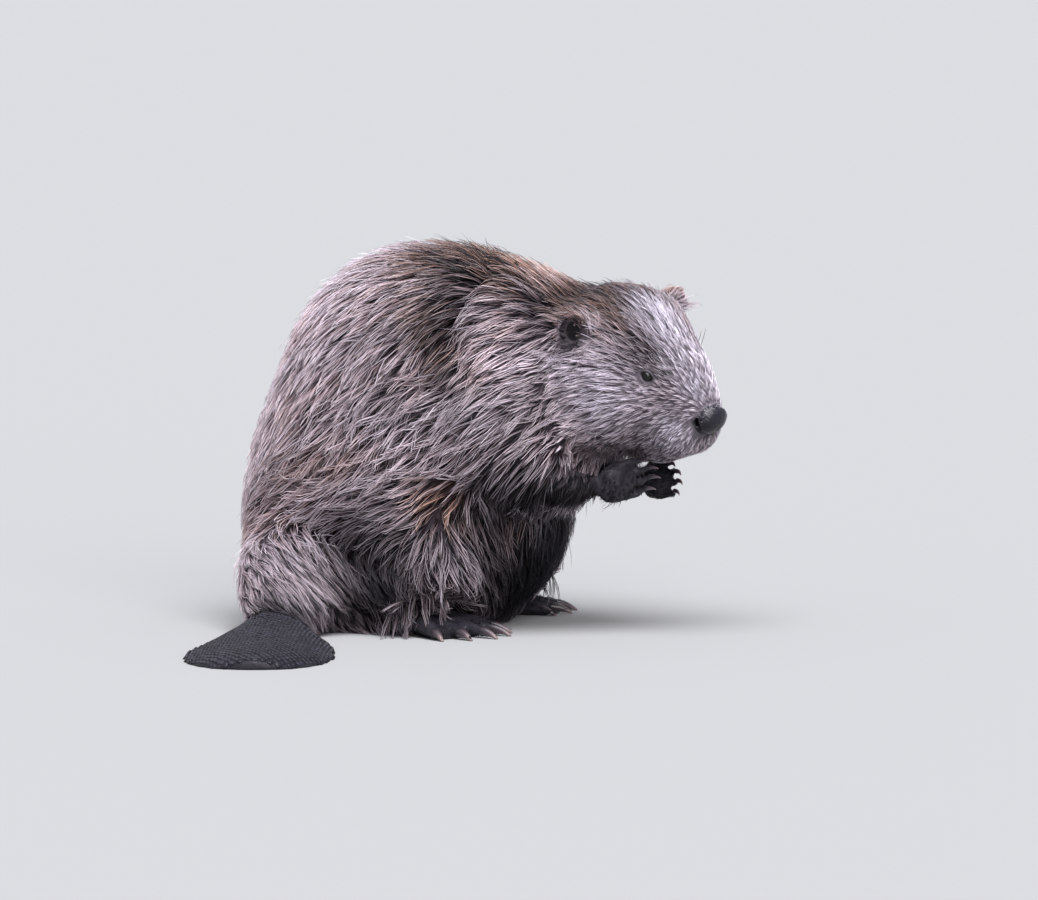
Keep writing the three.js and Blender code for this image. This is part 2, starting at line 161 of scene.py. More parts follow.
def eased(values, pairs, times, share=0.6):
    """Each value moves towards the mean of its neighbours."""
    a, b = pairs.T
    size = len(values)
    around = np.bincount(np.concatenate([a, b]), minlength=size)
    for _ in range(times):
        means = np.empty_like(values)
        for column in range(values.shape[1]):
            held = values[:, column]
            total = np.bincount(a, held[b], size) + np.bincount(b, held[a], size)
            means[:, column] = total / np.maximum(around, 1)
        values = values + share * (means - values)
    return values


# Which region of the animal each spot of the hide belongs to, as soft masks.
REGION_OF = {
    "head": "face", "lower_jaw": "jaw", "nose": "nose",
    "ear_left": "ears", "ear_right": "ears",
    "hand_left": "hands", "hand_right": "hands",
    "forearm_left": "forearms", "forearm_right": "forearms",
    "hind_foot_left": "feet", "hind_foot_right": "feet",
    "tail_root": "tail_root", "tail_paddle": "paddle",
}
ANKLE = 22 * MM  # above this a hind foot is furred like the leg
REGIONS = ["body", "face", "jaw", "nose", "ears", "hands", "forearms", "feet", "tail_root", "paddle"]

flesh_spots, flesh_faces, region_of_face = [], [], []
for name in FLESH:
    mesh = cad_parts[name].data
    first = len(flesh_spots)
    flesh_spots += [v.co.copy() for v in mesh.vertices]
    flesh_faces += [[first + i for i in f.vertices] for f in mesh.polygons]
    ankle = ANKLE if name in FEET else math.inf
    regions = ["body" if f.center.z > ankle else REGION_OF.get(name, "body") for f in mesh.polygons]
    region_of_face += [REGIONS.index(region) for region in regions]
flesh_tree = BVHTree.FromPolygons(flesh_spots, flesh_faces)


def nearest_on(tree, spots):
    """The nearest spots of a surface, and the face that each lies on."""
    found = [tree.find_nearest(p) for p in spots]
    return np.array([f[0] for f in found]), np.array([f[2] for f in found])


def region_masks():
    """How much each spot of the skin belongs to each region, with soft borders."""
    regions = np.array(region_of_face)[nearest_on(flesh_tree, skin)[1]]
    return eased(np.eye(len(REGIONS))[regions], pairs, 3)


def share(*names):
    """How much each spot of the skin belongs to these regions."""
    return masks[:, [REGIONS.index(name) for name in names]].sum(1)


def tree_of(mesh):
    return BVHTree.FromPolygons([v.co for v in mesh.vertices], [tuple(f.vertices) for f in mesh.polygons])


def put_points():
    """Moves the points of the hide to where the skin now is."""
    hide.data.vertices.foreach_set("co", skin.astype(np.float32).ravel())
    hide.data.update()


skin, pairs = points_and_pairs()
masks = region_masks()

# The facets are smoothed away, least where the flesh is finely shaped.
FACET_PASSES = 40
smooth = share("body", "tail_root") + 0.7 * share("face", "jaw")
smooth = (0.1 - 0.07 * share("hands") + 0.5 * np.clip(smooth, 0, 1))[:, None]
skin = eased(skin, pairs, FACET_PASSES, smooth)
put_points()


def unit(ways):
    return ways / np.maximum(np.linalg.norm(ways, axis=-1, keepdims=True), 1e-12)


def hide_normals():
    return read(hide.data.vertex_normals, "vector", 3, np.float32).astype(float)


def outward_ways(passes):
    """The outward way at each point of the hide, smoothed this many times."""
    return unit(eased(hide_normals(), pairs, passes))


def far_from(spots, place):
    return np.linalg.norm(spots - place, axis=1)


def rise(value, start, end):
    """0 before start and 1 after end, with a soft passage."""
    t = np.clip((value - start) / (end - start), 0, 1)
    return t * t * (3 - 2 * t)


def fall(value, start, end):
    """1 before start and 0 after end, with a soft passage."""
    return rise(-value, -end, -start)


def bell(value, middle, half_width):
    """1 at the middle, and little past half a width from it."""
    return np.exp(-(((value - middle) / half_width) ** 2))


# Depth of the coat in millimetres, from the skin to the tips. It is less on the muzzle, where the
# flesh is thin, and by the eyes, and next to nothing where the animal sits.
COAT_DEPTH = {"body": 12, "face": 7, "jaw": 5, "nose": 0, "ears": 0.6, "hands": 0.3, "forearms": 5,
              "feet": 0.5, "tail_root": 4.5, "paddle": 1.2}
THINNEST = 0.3  # of the flesh that the coat may take from each side
MUZZLE = (-118, -35)  # along the head from the tip of the nose: where its coat starts to thin, and is thin
SEAT = (4 * MM, 16 * MM)  # the heights between which the flesh that the animal sits on ends
SHORT_BY_EYES = (8 * MM, 24 * MM)  # from the ball: as short as it gets, and as long as elsewhere
BALLS = {name: middle_of(name) for name in EYEBALLS}


def by_eyes(spots):
    """0 on the eyelids and 1 well away from the eyes."""
    return rise(np.min([far_from(spots, ball) for ball in BALLS.values()], 0), *SHORT_BY_EYES)


depth = masks @ np.array([COAT_DEPTH[r] for r in REGIONS]) * MM
depth = eased(depth[:, None], pairs, 18)[:, 0]
muzzle = share("face", "jaw") * rise(in_head(skin)[:, 0] / MM, *MUZZLE)
outwards = outward_ways(6)
sat_on = rise(-outwards[:, 2], 0.35, 0.8) * (1 - rise(skin[:, 2], *SEAT))
depth = depth * (1 - 0.76 * muzzle) * (1 - 0.95 * sat_on) * (0.1 + 0.9 * by_eyes(skin))
THICKEST = 60 * MM  # flesh thicker than this needs no measuring
inside = tree_of(hide.data)
through = [inside.ray_cast(p - n * MM, -n, THICKEST)[3] or THICKEST
           for p, n in zip(map(Vector, skin), map(Vector, outwards))]
depth = np.minimum(depth, THINNEST * np.array(through))
depth = eased(depth[:, None], pairs, 12)
skin = skin - outwards * depth
skin = eased(skin, pairs, 6, 0.8 * smooth)

# A corner of the trunk is left standing between the haunch and the root of the tail, where the flesh
# is thin. It is pressed level with them and eased away.
CORNER = np.array([-113, -117, 46]) * MM + LAYOUT_AT
CORNER_REACH = 28 * MM
CORNER_SIDES = (10 * MM, 17 * MM)  # from its middle: where it starts to be left as it is, and is
CORNER_PASSES = 250
off = skin - CORNER
proud = -np.minimum(off[:, 1], 0) * (off[:, 1] > -CORNER_REACH)
skin[:, 1] += proud * fall(np.hypot(off[:, 0], off[:, 2]), *CORNER_SIDES)
far = far_from(skin, CORNER)
local = np.nonzero(far < CORNER_REACH)[0]
place_in = np.full(len(skin), -1)
place_in[local] = np.arange(len(local))
local_pairs = place_in[pairs]
local_pairs = local_pairs[(local_pairs >= 0).all(1)]
give = 0.9 * fall(far[local], 0.6 * CORNER_REACH, CORNER_REACH)[:, None]
skin[local] = eased(skin[local], local_pairs, CORNER_PASSES, give)
put_points()

# Folds of the loose hide, as creases along lines. A place of the hide is given as it is seen level
# from the right side: millimetres across from the middle of the frame and above the floor's line.
VIEW_TILT = math.radians(5)
SIGHT = np.array([0, math.cos(VIEW_TILT), -math.sin(VIEW_TILT)])
UPWARDS = np.array([0, math.sin(VIEW_TILT), math.cos(VIEW_TILT)])
MISSED = 60 * MM  # before the animal's middle: where a look past it turns to its nearest spot
FOLDS = [  # the line of a crease, its depth and its half width
    ([(20, 304), (25, 283), (7, 260), (-3, 240), (0, 215), (12, 196)], 7.0, 9),
    ([(-68, 192), (-48, 200), (-28, 196), (-12, 184)], 4.0, 7),
    ([(-2, 118), (16, 104), (40, 92), (64, 86), (86, 90)], 6.5, 8),
    ([(-164, 78), (-140, 92), (-112, 74), (-92, 44), (-76, 14)], 4.0, 9),
    ([(-36, 92), (-32, 66), (-38, 36), (-44, 14)], 4.0, 7),
    ([(-58, 122), (-36, 124), (-12, 126)], 3.5, 7),
    ([(104, 158), (118, 146), (138, 140)], 3.0, 7),
]
hide_tree = tree_of(hide.data)


def seen(across, up):
    """The spot of the hide that this place of the view shows, and its outward way."""
    start = LAYOUT_AT + np.array([across * MM - LAYOUT_AT[0], 0, 0]) + UPWARDS * up * MM - SIGHT
    spot, way, _, _ = hide_tree.ray_cast(Vector(start), Vector(SIGHT))
    if spot is None:
        spot, way, _, _ = hide_tree.find_nearest(Vector(start + SIGHT * (1 - MISSED)))
    return np.array(spot), np.array(way)


def mirrored(spot, way, base):
    """The same spot and way on the other side of the head or the body."""
    at, turn = FRAMES[base]
    across = np.array([1, -1, 1])
    return ((spot - at) @ turn * across) @ turn.T + at, (way @ turn * across) @ turn.T


outwards = outward_ways(10)
pressed = np.zeros(len(skin))
for line, deepest, half_width in FOLDS:
    places = [seen(*place) for place in line]
    for side in (0, 1):
        stops = [mirrored(*place, "body")[0] if side else place[0] for place in places]
        nearest = np.full(len(skin), 1.0)
        for start, end in zip(stops, stops[1:]):
            run = end - start
            t = np.clip((skin - start) @ run / (run @ run), 0, 1)
            nearest = np.minimum(nearest, ((skin - start - t[:, None] * run) ** 2).sum(1))
        pressed = np.maximum(pressed, deepest * MM * np.exp(-nearest / (half_width * MM) ** 2))
skin = skin - outwards * pressed[:, None]
skin[:, 2] = np.maximum(skin[:, 2], 0)
put_points()

# The mesh is made finer round the eyes, the nose pad and the mouth, where the lids, nostrils and
# lips are shaped.
EYE_RADIUS = 6.6 * MM
NOSE_MIDDLE = HEAD_AT + HEAD_TURN @ NOSE_PAD
FINE = [*((ball, 13 * MM, 3) for ball in BALLS.values()), (NOSE_MIDDLE, 23 * MM, 1)]  # place, reach, cuts
form = bmesh.new()
form.from_mesh(hide.data)
for spot, reach, cuts in FINE:
    edges = [e for e in form.edges if all((v.co - Vector(spot)).length < reach for v in e.verts)]
    bmesh.ops.subdivide_edges(form, edges=edges, cuts=cuts, use_grid_fill=True)
bmesh.ops.triangulate(form, faces=[f for f in form.faces if len(f.verts) > 4])
form.to_mesh(hide.data)
form.free()
skin, pairs = points_and_pairs()
near_fine = sum(fall(far_from(skin, spot), 0.8 * reach, reach) for spot, reach, _ in FINE)
skin = eased(skin, pairs, 10, 0.6 * np.clip(near_fine, 0, 1)[:, None])

# Eyelids: a rim that wraps the ball a little wider than the opening, with a fold over it.
EYE_OPENING = (4.5 * MM, 3.4 * MM)  # half its length and half its height
EYE_SLANT = math.radians(-8)
BEHIND_LIDS = 0.86 * EYE_RADIUS  # where the hide lies in the opening, inside the ball
LID = 0.75 * MM
LID_FOLD = 0.55 * MM
LIDS_REACH = 11 * MM
ROUND_BALL = 9 * MM  # from its middle: the hide that faces the way the eye looks
LID_SKIN = (7.4 * MM, 8.9 * MM)  # from the ball's middle: where the bare skin of the lids runs out
eye_frames = {}


def lid_edge(along, up):
    """Under 1 in the eye's opening and over 1 on the lids, for ways out of the ball."""
    x = along * EYE_RADIUS / EYE_OPENING[0]
    return np.hypot(x, up * EYE_RADIUS / (EYE_OPENING[1] * (1 - 0.12 * x**2)))


for name, ball in BALLS.items():
    put_points()
    near = far_from(skin, ball) < ROUND_BALL
    axis = unit(hide_normals()[near].sum(0))
    ahead = unit(HEAD_TURN[:, 0] - axis * (HEAD_TURN[:, 0] @ axis))
    above = np.cross(axis, ahead)
    above *= np.sign(above @ HEAD_TURN[:, 2])
    ahead, above = (ahead * math.cos(EYE_SLANT) + above * math.sin(EYE_SLANT),
                    above * math.cos(EYE_SLANT) - ahead * math.sin(EYE_SLANT))
    eye_frames[name] = (ball, axis, ahead, above)
    out = skin - ball
    far = np.linalg.norm(out, axis=1)
    way = out / far[:, None]
    y, front = way @ above * EYE_RADIUS, way @ axis
    edge = lid_edge(way @ ahead, way @ above)
    rim = EYE_RADIUS + LID * (1 + 0.5 * bell(edge, 1.15, 0.12))
    fold = LID_FOLD * bell(edge, 1.75, 0.16) * rise(y, -1 * MM, 2 * MM)
    lifted = np.maximum(far, rim) + 0.5 * MM * bell(far, rim, 1.6 * MM) - fold
    opened = BEHIND_LIDS + (lifted - BEHIND_LIDS) * rise(edge, 0.98, 1.08)
    reach = rise(front, 0.05, 0.25) * (far < LIDS_REACH)
    skin = ball + way * (far + (opened - far) * reach)[:, None]
from_balls = [far_from(skin, ball) for ball in BALLS.values()]
shut = sum((far > EYE_RADIUS) & (far < LIDS_REACH) for far in from_balls)
skin = eased(skin, pairs, 2, 0.35 * shut[:, None])

# Nostrils: a slanting hollow in each side of the pad with a raised rim, and the groove between them.
NOSTRIL = np.array([-10.5, 14.0, -10.0])  # in the head's frame, from the tip of the nose
NOSTRIL_SIZE = np.array([5.0, 4.4, 3.0])
NOSTRIL_DEPTH = 5.5 * MM
NOSTRIL_RIM = 0.8 * MM
NOSE_GROOVE = 1.1 * MM
SLANT = turned(0, 38)
put_points()
outwards = outward_ways(2)
spot = in_head(skin) / MM
for side in (1, -1):
    off = (spot - NOSTRIL * (1, side, 1)) @ SLANT
    off[:, 2] -= fall(off[:, 0], -7, 0) * 1.6  # the hollow runs out backwards in a slit
    far = np.linalg.norm(off / NOSTRIL_SIZE, axis=1)
    inwards = unit(HEAD_TURN @ np.array([-0.55, -side, 0.05]))
    skin = skin + inwards * (NOSTRIL_DEPTH * fall(far, 0.25, 1.0))[:, None]
    skin = skin + outwards * (NOSTRIL_RIM * bell(far, 1.25, 0.22))[:, None]
middle_line = bell(spot[:, 1], 0, 1.1) * fall(spot[:, 2], -14, -8) * rise(spot[:, 0], -34, -20)
skin = skin - outwards * (NOSE_GROOVE * middle_line)[:, None]

# The mouth: a groove along the edge of the lower jaw, deepest in front.
MOUTH = (-84, -60)  # along the head, from the tip of the nose: where it ends and where it is deepest
MOUTH_DEPTH = 2.6 * MM


def lip_line(jaws, heads, ahead, half_width):
    """1 where the lips meet and 0 away from them, for shares of the jaw and of the head."""
    return bell(jaws / np.maximum(heads, 1e-6), 0.5, half_width) * rise(ahead, *MOUTH) * (heads > 0.5)


masks = region_masks()
forwards = in_head(skin)[:, 0] / MM
lips = lip_line(share("jaw"), share("jaw", "face"), forwards, 0.28)
lips = eased(lips[:, None], pairs, 2)
skin = skin - outwards * (MOUTH_DEPTH * lips)
put_points()

# The finished mesh is thinned, least on the face, hands and feet.
LEVELS = 8
fine = hide.vertex_groups.new(name="plain")
fine_part = near_fine + share("nose", "hands", "ears") + 0.6 * share("jaw", "feet")
fine_part = np.clip(fine_part + 0.5 * share("face") * rise(forwards, -90, -40), 0, 1)
for level in range(LEVELS):
    chosen = np.nonzero((fine_part * (LEVELS - 0.01)).astype(int) == level)[0]
    fine.add(chosen.tolist(), 1 - level / LEVELS, "REPLACE")
thinner = hide.modifiers.new("thinner", "DECIMATE")
thinner.ratio = 0.2
thinner.vertex_group = "plain"
thinner.vertex_group_factor = 1.0
hide.modifiers.new("thirds", "TRIANGULATE")
settled(hide)
hide.vertex_groups.clear()

skin, pairs = points_and_pairs()
masks = region_masks()
outwards = outward_ways(2)
hide_tree = tree_of(hide.data)
corners = read(hide.data.polygons, "vertices", 3, np.int32)
face_outs = unit(outwards[corners].mean(1))
face_masks = masks[corners].mean(1)
face_middles = skin[corners].mean(1)
face_forwards = in_head(face_middles)[:, 0] / MM
face_jaws, face_faces = face_masks[:, REGIONS.index("jaw")], face_masks[:, REGIONS.index("face")]
face_lips = lip_line(face_jaws, face_jaws + face_faces, face_forwards, 0.3)
face_by_eyes = by_eyes(face_middles)

# ---------------------------------------------------------------- markings and painted light
# The soft patches of colour that the skin and the coat share: russet, pale and dark ones over the
# plain brown. Each is a place in the level view from the right side, in millimetres across from the
# middle of the frame and above the floor's line, its radius and its strength. The pale ones on the
# forehead are partly a painted sheen, and the dark ones are partly painted shade: on the belly, chest
# and lower arms, along the fold by the shoulder, and low down by the floor.

MARKS_AND_PAINTED_LIGHT = {
    "russet": [(34, 293, 28, 0.7), (70, 284, 18, 0.5), (-4, 240, 14, 0.6), (-10, 262, 14, 0.5),
               (122, 256, 17, 0.9), (112, 276, 13, 0.8), (140, 236, 14, 0.5), (-8, 108, 13, 0.8),
               (60, 240, 12, 0.25), (-74, 160, 18, 0.3), (40, 92, 14, 0.5), (175, 268, 9, 0.6),
               (20, 200, 24, 0.25), (150, 165, 12, 0.3), (-130, 140, 24, 0.3), (-30, 190, 16, 0.35),
               (101, 250, 9, 0.7), (50, 276, 16, 0.5), (-12, 296, 16, 0.5), (104, 192, 16, 0.35),
               (110, 162, 16, 0.35), (126, 244, 10, 0.5), (66, 190, 22, 0.25)],
    # Pale patches: paler hair, and on the forehead partly a painted sheen.
    "pale": [(166, 250, 11, 1.0), (176, 232, 11, 1.0), (185, 210, 10, 1.0), (196, 192, 9, 1.0),
             (176, 262, 8, 0.6), (-146, 30, 28, 0.4), (-166, 52, 18, 0.35), (166, 133, 6, 0.8),
             (66, 93, 8, 0.9), (-90, 262, 50, 0.1), (126, 182, 27, 0.9), (-8, 60, 14, 0.4),
             (203, 176, 9, 0.6), (62, 215, 28, 0.45), (-120, 190, 44, 0.1), (178, 154, 17, 0.95),
             (100, 215, 14, 0.5), (-45, 175, 30, 0.3), (35, 170, 22, 0.35)],
    # Dark patches: partly darker hair, as on the crown, nape and hands, and partly painted shade, on the
    # belly, chest and lower arms, along the fold by the shoulder and low down by the floor.
    "dark": [(66, 48, 42, 1.0), (92, 82, 28, 1.0), (84, 105, 18, 1.0), (58, 107, 20, 0.95),
             (108, 112, 18, 0.9), (-50, 108, 15, 0.4), (-4, 16, 22, 0.7), (-95, 22, 13, 0.8),
             (118, 128, 12, 0.8), (119, 273, 8, 0.7), (60, 16, 20, 1.0), (-146, 10, 13, 0.9),
             (-72, 4, 16, 0.7), (26, 104, 15, 0.6), (148, 120, 12, 0.9), (10, 150, 16, 0.25),
             (90, 243, 8, 0.4), (-75, 48, 34, 0.95), (14, 72, 22, 0.5), (128, 271, 15, 0.9),
             (110, 262, 12, 0.4), (150, 222, 12, 0.45), (161, 212, 8, 0.6), (166, 200, 6, 0.5),
             (26, 298, 20, 0.9), (54, 290, 18, 0.85), (18, 282, 14, 0.85), (6, 262, 12, 0.9),
             (42, 140, 22, 0.3), (-3, 242, 12, 0.9), (-2, 220, 10, 0.8), (48, 62, 26, 1.0),
             (76, 72, 26, 1.0), (84, 46, 26, 1.0), (58, 28, 28, 1.0), (44, 113, 14, 0.7),
             (74, 104, 14, 0.9), (-58, 58, 24, 0.7), (18, 62, 16, 0.5), (12, 198, 9, 0.5),
             (-60, 192, 8, 0.4), (-40, 198, 8, 0.4), (-163, 16, 14, 0.95), (-180, 12, 10, 0.9),
             (114, 280, 12, 0.5), (40, 285, 20, 0.6), (142, 258, 9, 0.7), (136, 246, 10, 0.5),
             (146, 238, 8, 0.4)],
}


SKULL_BACK = -130 * MM  # along the head from the tip of the nose: marks behind it are the body's


def marks_and_light_at(spots):
    """How strongly each kind of mark shows at these spots."""
    shown_marks = []
    for kind, patches in MARKS_AND_PAINTED_LIGHT.items():
        left = np.ones(len(spots))
        for across, up, radius, strength in patches:
            spot, way = seen(across, up)
            base = "head" if in_head(spot)[0] > SKULL_BACK else "body"
            for place in (spot, mirrored(spot, way, base)[0]):
                far = ((spots - place) ** 2).sum(1) / (2 * (radius * MM) ** 2)
                left *= 1 - strength * np.exp(-far)
        shown_marks.append(1 - left)
    return np.array(shown_marks).T


def hold(mesh, name, *columns):
    """Keeps up to three numbers at each point of a mesh, for its material."""
    held = np.zeros((len(mesh.vertices), 3), np.float32)
    for k, column in enumerate(columns):
        held[:, k] = column
    mesh.attributes.new(name, "FLOAT_VECTOR", "POINT").data.foreach_set("vector", held.ravel())


def feed(tree, sockets, values):
    """Sets each socket to its number, or links it to another node's output."""
    for socket, value in zip(sockets, values):
        if isinstance(value, bpy.types.NodeSocket):
            tree.links.new(value, socket)
        else:
            socket.default_value = value


def wire(tree, node, **sockets):
    feed(tree, [node.inputs[name.replace("_", " ")] for name in sockets], sockets.values())


def add(tree, kind, **sockets):
    """A shader node with these sockets fed."""
    made = tree.nodes.new("ShaderNode" + kind)
    wire(tree, made, **sockets)
    return made


def noise(tree, scale, detail, roughness=0.5):
    """Soft lumps in the piece's own space, this many to the metre."""
    place = add(tree, "TexCoord").outputs["Object"]
    return add(tree, "TexNoise", Vector=place, Scale=scale, Detail=detail, Roughness=roughness).outputs["Fac"]


def cells(tree, scale, feature):
    """A pattern of cells in the piece's own space, this many to the metre."""
    made = add(tree, "TexVoronoi", Vector=add(tree, "TexCoord").outputs["Object"], Scale=scale)
    made.feature = feature
    return made.outputs["Distance"]


def ramp(tree, value, stops):
    made = add(tree, "ValToRGB", Fac=value)
    while len(made.color_ramp.elements) < len(stops):
        made.color_ramp.elements.new(0.5)
    for element, (at, colour) in zip(made.color_ramp.elements, stops):
        element.position = at
        element.color = (*colour, 1) if isinstance(colour, tuple) else (colour, colour, colour, 1)
    return made.outputs[0]


def mixed(tree, amount, a, b, way="MIX"):
    made = tree.nodes.new("ShaderNodeMix")
    made.data_type = "RGBA"
    made.blend_type = way
    feed(tree, (made.inputs[0], made.inputs[6], made.inputs[7]), (amount, a, b))
    return made.outputs[2]


def channels(tree, attribute):
    """The three numbers that a mesh attribute holds at each point."""
    held = tree.nodes.new("ShaderNodeAttribute")
    held.attribute_name = attribute
    return add(tree, "SeparateXYZ", Vector=held.outputs["Vector"]).outputs


def paint(name, **sockets):
    """A new material and its node tree and shader, with the shader's own sockets set."""
    made = bpy.data.materials.new(name)
    made.use_nodes = True
    shader = made.node_tree.nodes["Principled BSDF"]
    wire(made.node_tree, shader, **sockets)
    return made, made.node_tree, shader


# Colours of a hair from its root to its tip, in linear red, green and blue. They are darkest at the
# root, partly as painted shade deep in the coat, and the dark ones go with the dark patches, which are
# partly painted shade.
HAIR_COLOURS = {
    "plain": [(0.0, (0.014, 0.009, 0.014)), (0.3, (0.055, 0.036, 0.045)), (0.58, (0.40, 0.305, 0.35)),
              (0.82, (0.80, 0.69, 0.78)), (1.0, (0.88, 0.78, 0.88))],
    "russet": [(0.0, (0.014, 0.006, 0.007)), (0.35, (0.085, 0.036, 0.028)), (0.66, (0.36, 0.19, 0.14)),
               (1.0, (0.66, 0.45, 0.38))],
    "pale": [(0.0, (0.05, 0.042, 0.053)), (0.26, (0.36, 0.31, 0.375)), (0.62, (0.78, 0.71, 0.84)),
             (1.0, (0.90, 0.84, 0.95))],
    "dark": [(0.0, (0.003, 0.0025, 0.005)), (0.5, (0.006, 0.005, 0.009)), (0.85, (0.012, 0.010, 0.018)),
             (1.0, (0.05, 0.046, 0.07))],
}


def coat_colour(tree, along):
    """The coat's colour with its marks and painted light, at a place from 0 at the root of the hairs to 1 at
    the tip.
    """
    amounts = channels(tree, "marks_and_light")
    colour = ramp(tree, along, HAIR_COLOURS["plain"])
    for amount, kind in zip(amounts, MARKS_AND_PAINTED_LIGHT):
        colour = mixed(tree, amount, colour, ramp(tree, along, HAIR_COLOURS[kind]))
    return colour


# The hide's colours: streaked underfur, dark partly as painted shade between the locks, creased dark
# skin where it is bare, and painted shade in the nostrils and the insides of the ears.
hide_marks_and_light = marks_and_light_at(skin)
bare = np.clip(share("nose", "hands", "feet", "paddle") * 1.3 - 0.15, 0, 1)
lids = np.zeros((len(skin), 3))  # how much each spot is on a lid, and on its wet dark edge
for ball, axis, ahead, above in eye_frames.values():
    way, far = unit(skin - ball), far_from(skin, ball)
    facing = rise(way @ axis, 0.1, 0.45)
    edge = lid_edge(way @ ahead, way @ above)
    lids[:, 0] += fall(far, *LID_SKIN) * facing
    lids[:, 1] += fall(edge, 1.03, 1.13) * facing * (far < ROUND_BALL)
# Painted shade in the hollows of the nostrils and in the bowls of the ears.
in_nostril = np.zeros(len(skin))
for side in (1, -1):
    off = (in_head(skin) / MM - NOSTRIL * (1, side, 1)) / NOSTRIL_SIZE
    in_nostril += fall(np.linalg.norm(off, axis=1), 0.6, 1.5)
EAR_TURNS = {"ear_left": turned(78, 24, 30), "ear_right": turned(-16, -8, 34)}
EAR_BOWL = (7.5, 12.0)  # half its width and half its height, in millimetres
in_ear, near_ear = np.zeros(len(skin)), np.zeros(len(skin))
for name, turn in EAR_TURNS.items():
    off = (skin - middle_of(name)) @ HEAD_TURN @ turn / MM
    across = np.hypot(off[:, 1] / EAR_BOWL[0], off[:, 2] / EAR_BOWL[1])
    ahead = rise(outwards @ HEAD_TURN @ turn[:, 0], 0.1, 0.45)
    in_ear = np.maximum(in_ear, ahead * fall(across, 0.75, 1))
    near_ear = np.maximum(near_ear, ahead * fall(across, 1.1, 1.7))
in_ear *= share("ears") > 0.3
hollow = np.clip(in_nostril + in_ear, 0, 1)
face_hollows = hollow[corners].mean(1)
face_ear_rims = near_ear[corners].mean(1)
hold(hide.data, "marks_and_light", *hide_marks_and_light.T)
hold(hide.data, "skin", bare, share("nose"), hollow)
hold(hide.data, "lids", *np.clip(lids, 0, 1).T)

# The underfur takes the dark colours near the roots of the hairs, partly as painted shade between the locks.
UNDERFUR_PALES = 0.22  # how far up a hair's colours its streaks reach
WET_EDGE = (0.006, 0.005, 0.007, 1)  # of the lids
# painted shade of the nostrils and the insides of the ears
HOLLOW_SHADE = (0.004, 0.003, 0.005, 1)  # the nostrils and the insides of the ears
DAMP = (0.25, 0.25, 0.25, 1)  # the roughness of the nose pad
finish, tree, shader = paint("underfur and bare skin", Specular_IOR_Level=0.32)
is_bare, is_damp, in_hollow_shade = channels(tree, "skin")
streaks = noise(tree, 420, 5, 0.7)
patches = noise(tree, 60, 3)
shallow = add(tree, "Math", Value=streaks)
shallow.operation = "MULTIPLY"
shallow.inputs[1].default_value = UNDERFUR_PALES
underfur = coat_colour(tree, shallow.outputs[0])
pebbles = ramp(tree, cells(tree, 1500, "DISTANCE_TO_EDGE"), [(0.0, 0.0), (0.12, 1.0)])
bare_colour = ramp(tree, patches, [(0.3, (0.009, 0.008, 0.013)), (0.7, (0.026, 0.022, 0.032))])
nose_colour = ramp(tree, patches, [(0.3, (0.004, 0.0035, 0.006)), (0.7, (0.018, 0.016, 0.025))])
bare_colour = mixed(tree, is_damp, bare_colour, nose_colour)
bare_colour = mixed(tree, 0.35, bare_colour, pebbles, "MULTIPLY")
colour = mixed(tree, is_bare, underfur, bare_colour)
on_lids, on_waterline, _ = channels(tree, "lids")
lid_colour = ramp(tree, patches, [(0.3, (0.11, 0.098, 0.12)), (0.7, (0.25, 0.225, 0.27))])
colour = mixed(tree, on_lids, colour, lid_colour)
colour = mixed(tree, on_waterline, colour, WET_EDGE)
# Painted shade in the nostrils and the ears' bowls.
colour = mixed(tree, in_hollow_shade, colour, HOLLOW_SHADE)
matt = mixed(tree, is_damp, ramp(tree, is_bare, [(0.2, 0.95), (0.8, 0.42)]), DAMP)
lumps = ramp(tree, cells(tree, 620, "SMOOTH_F1"), [(0.1, 1.0), (0.75, 0.0)])
relief = mixed(tree, is_damp, mixed(tree, is_bare, streaks, pebbles), lumps)
bump = add(tree, "Bump", Height=relief, Distance=0.4 * MM, Strength=0.8)
wire(tree, shader, Base_Color=colour, Roughness=matt, Normal=bump.outputs[0])
hide.data.materials.append(finish)
for polygon in hide.data.polygons:
    polygon.use_smooth = True
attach(hide, "root")
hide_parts(*FLESH)

# ---------------------------------------------------------------- eyes
# Two small dark eyeballs, wet and glossy, with a clear bulge in front of a brown iris and a wide
# pupil. Each sits in its lids at the depth of its solid.

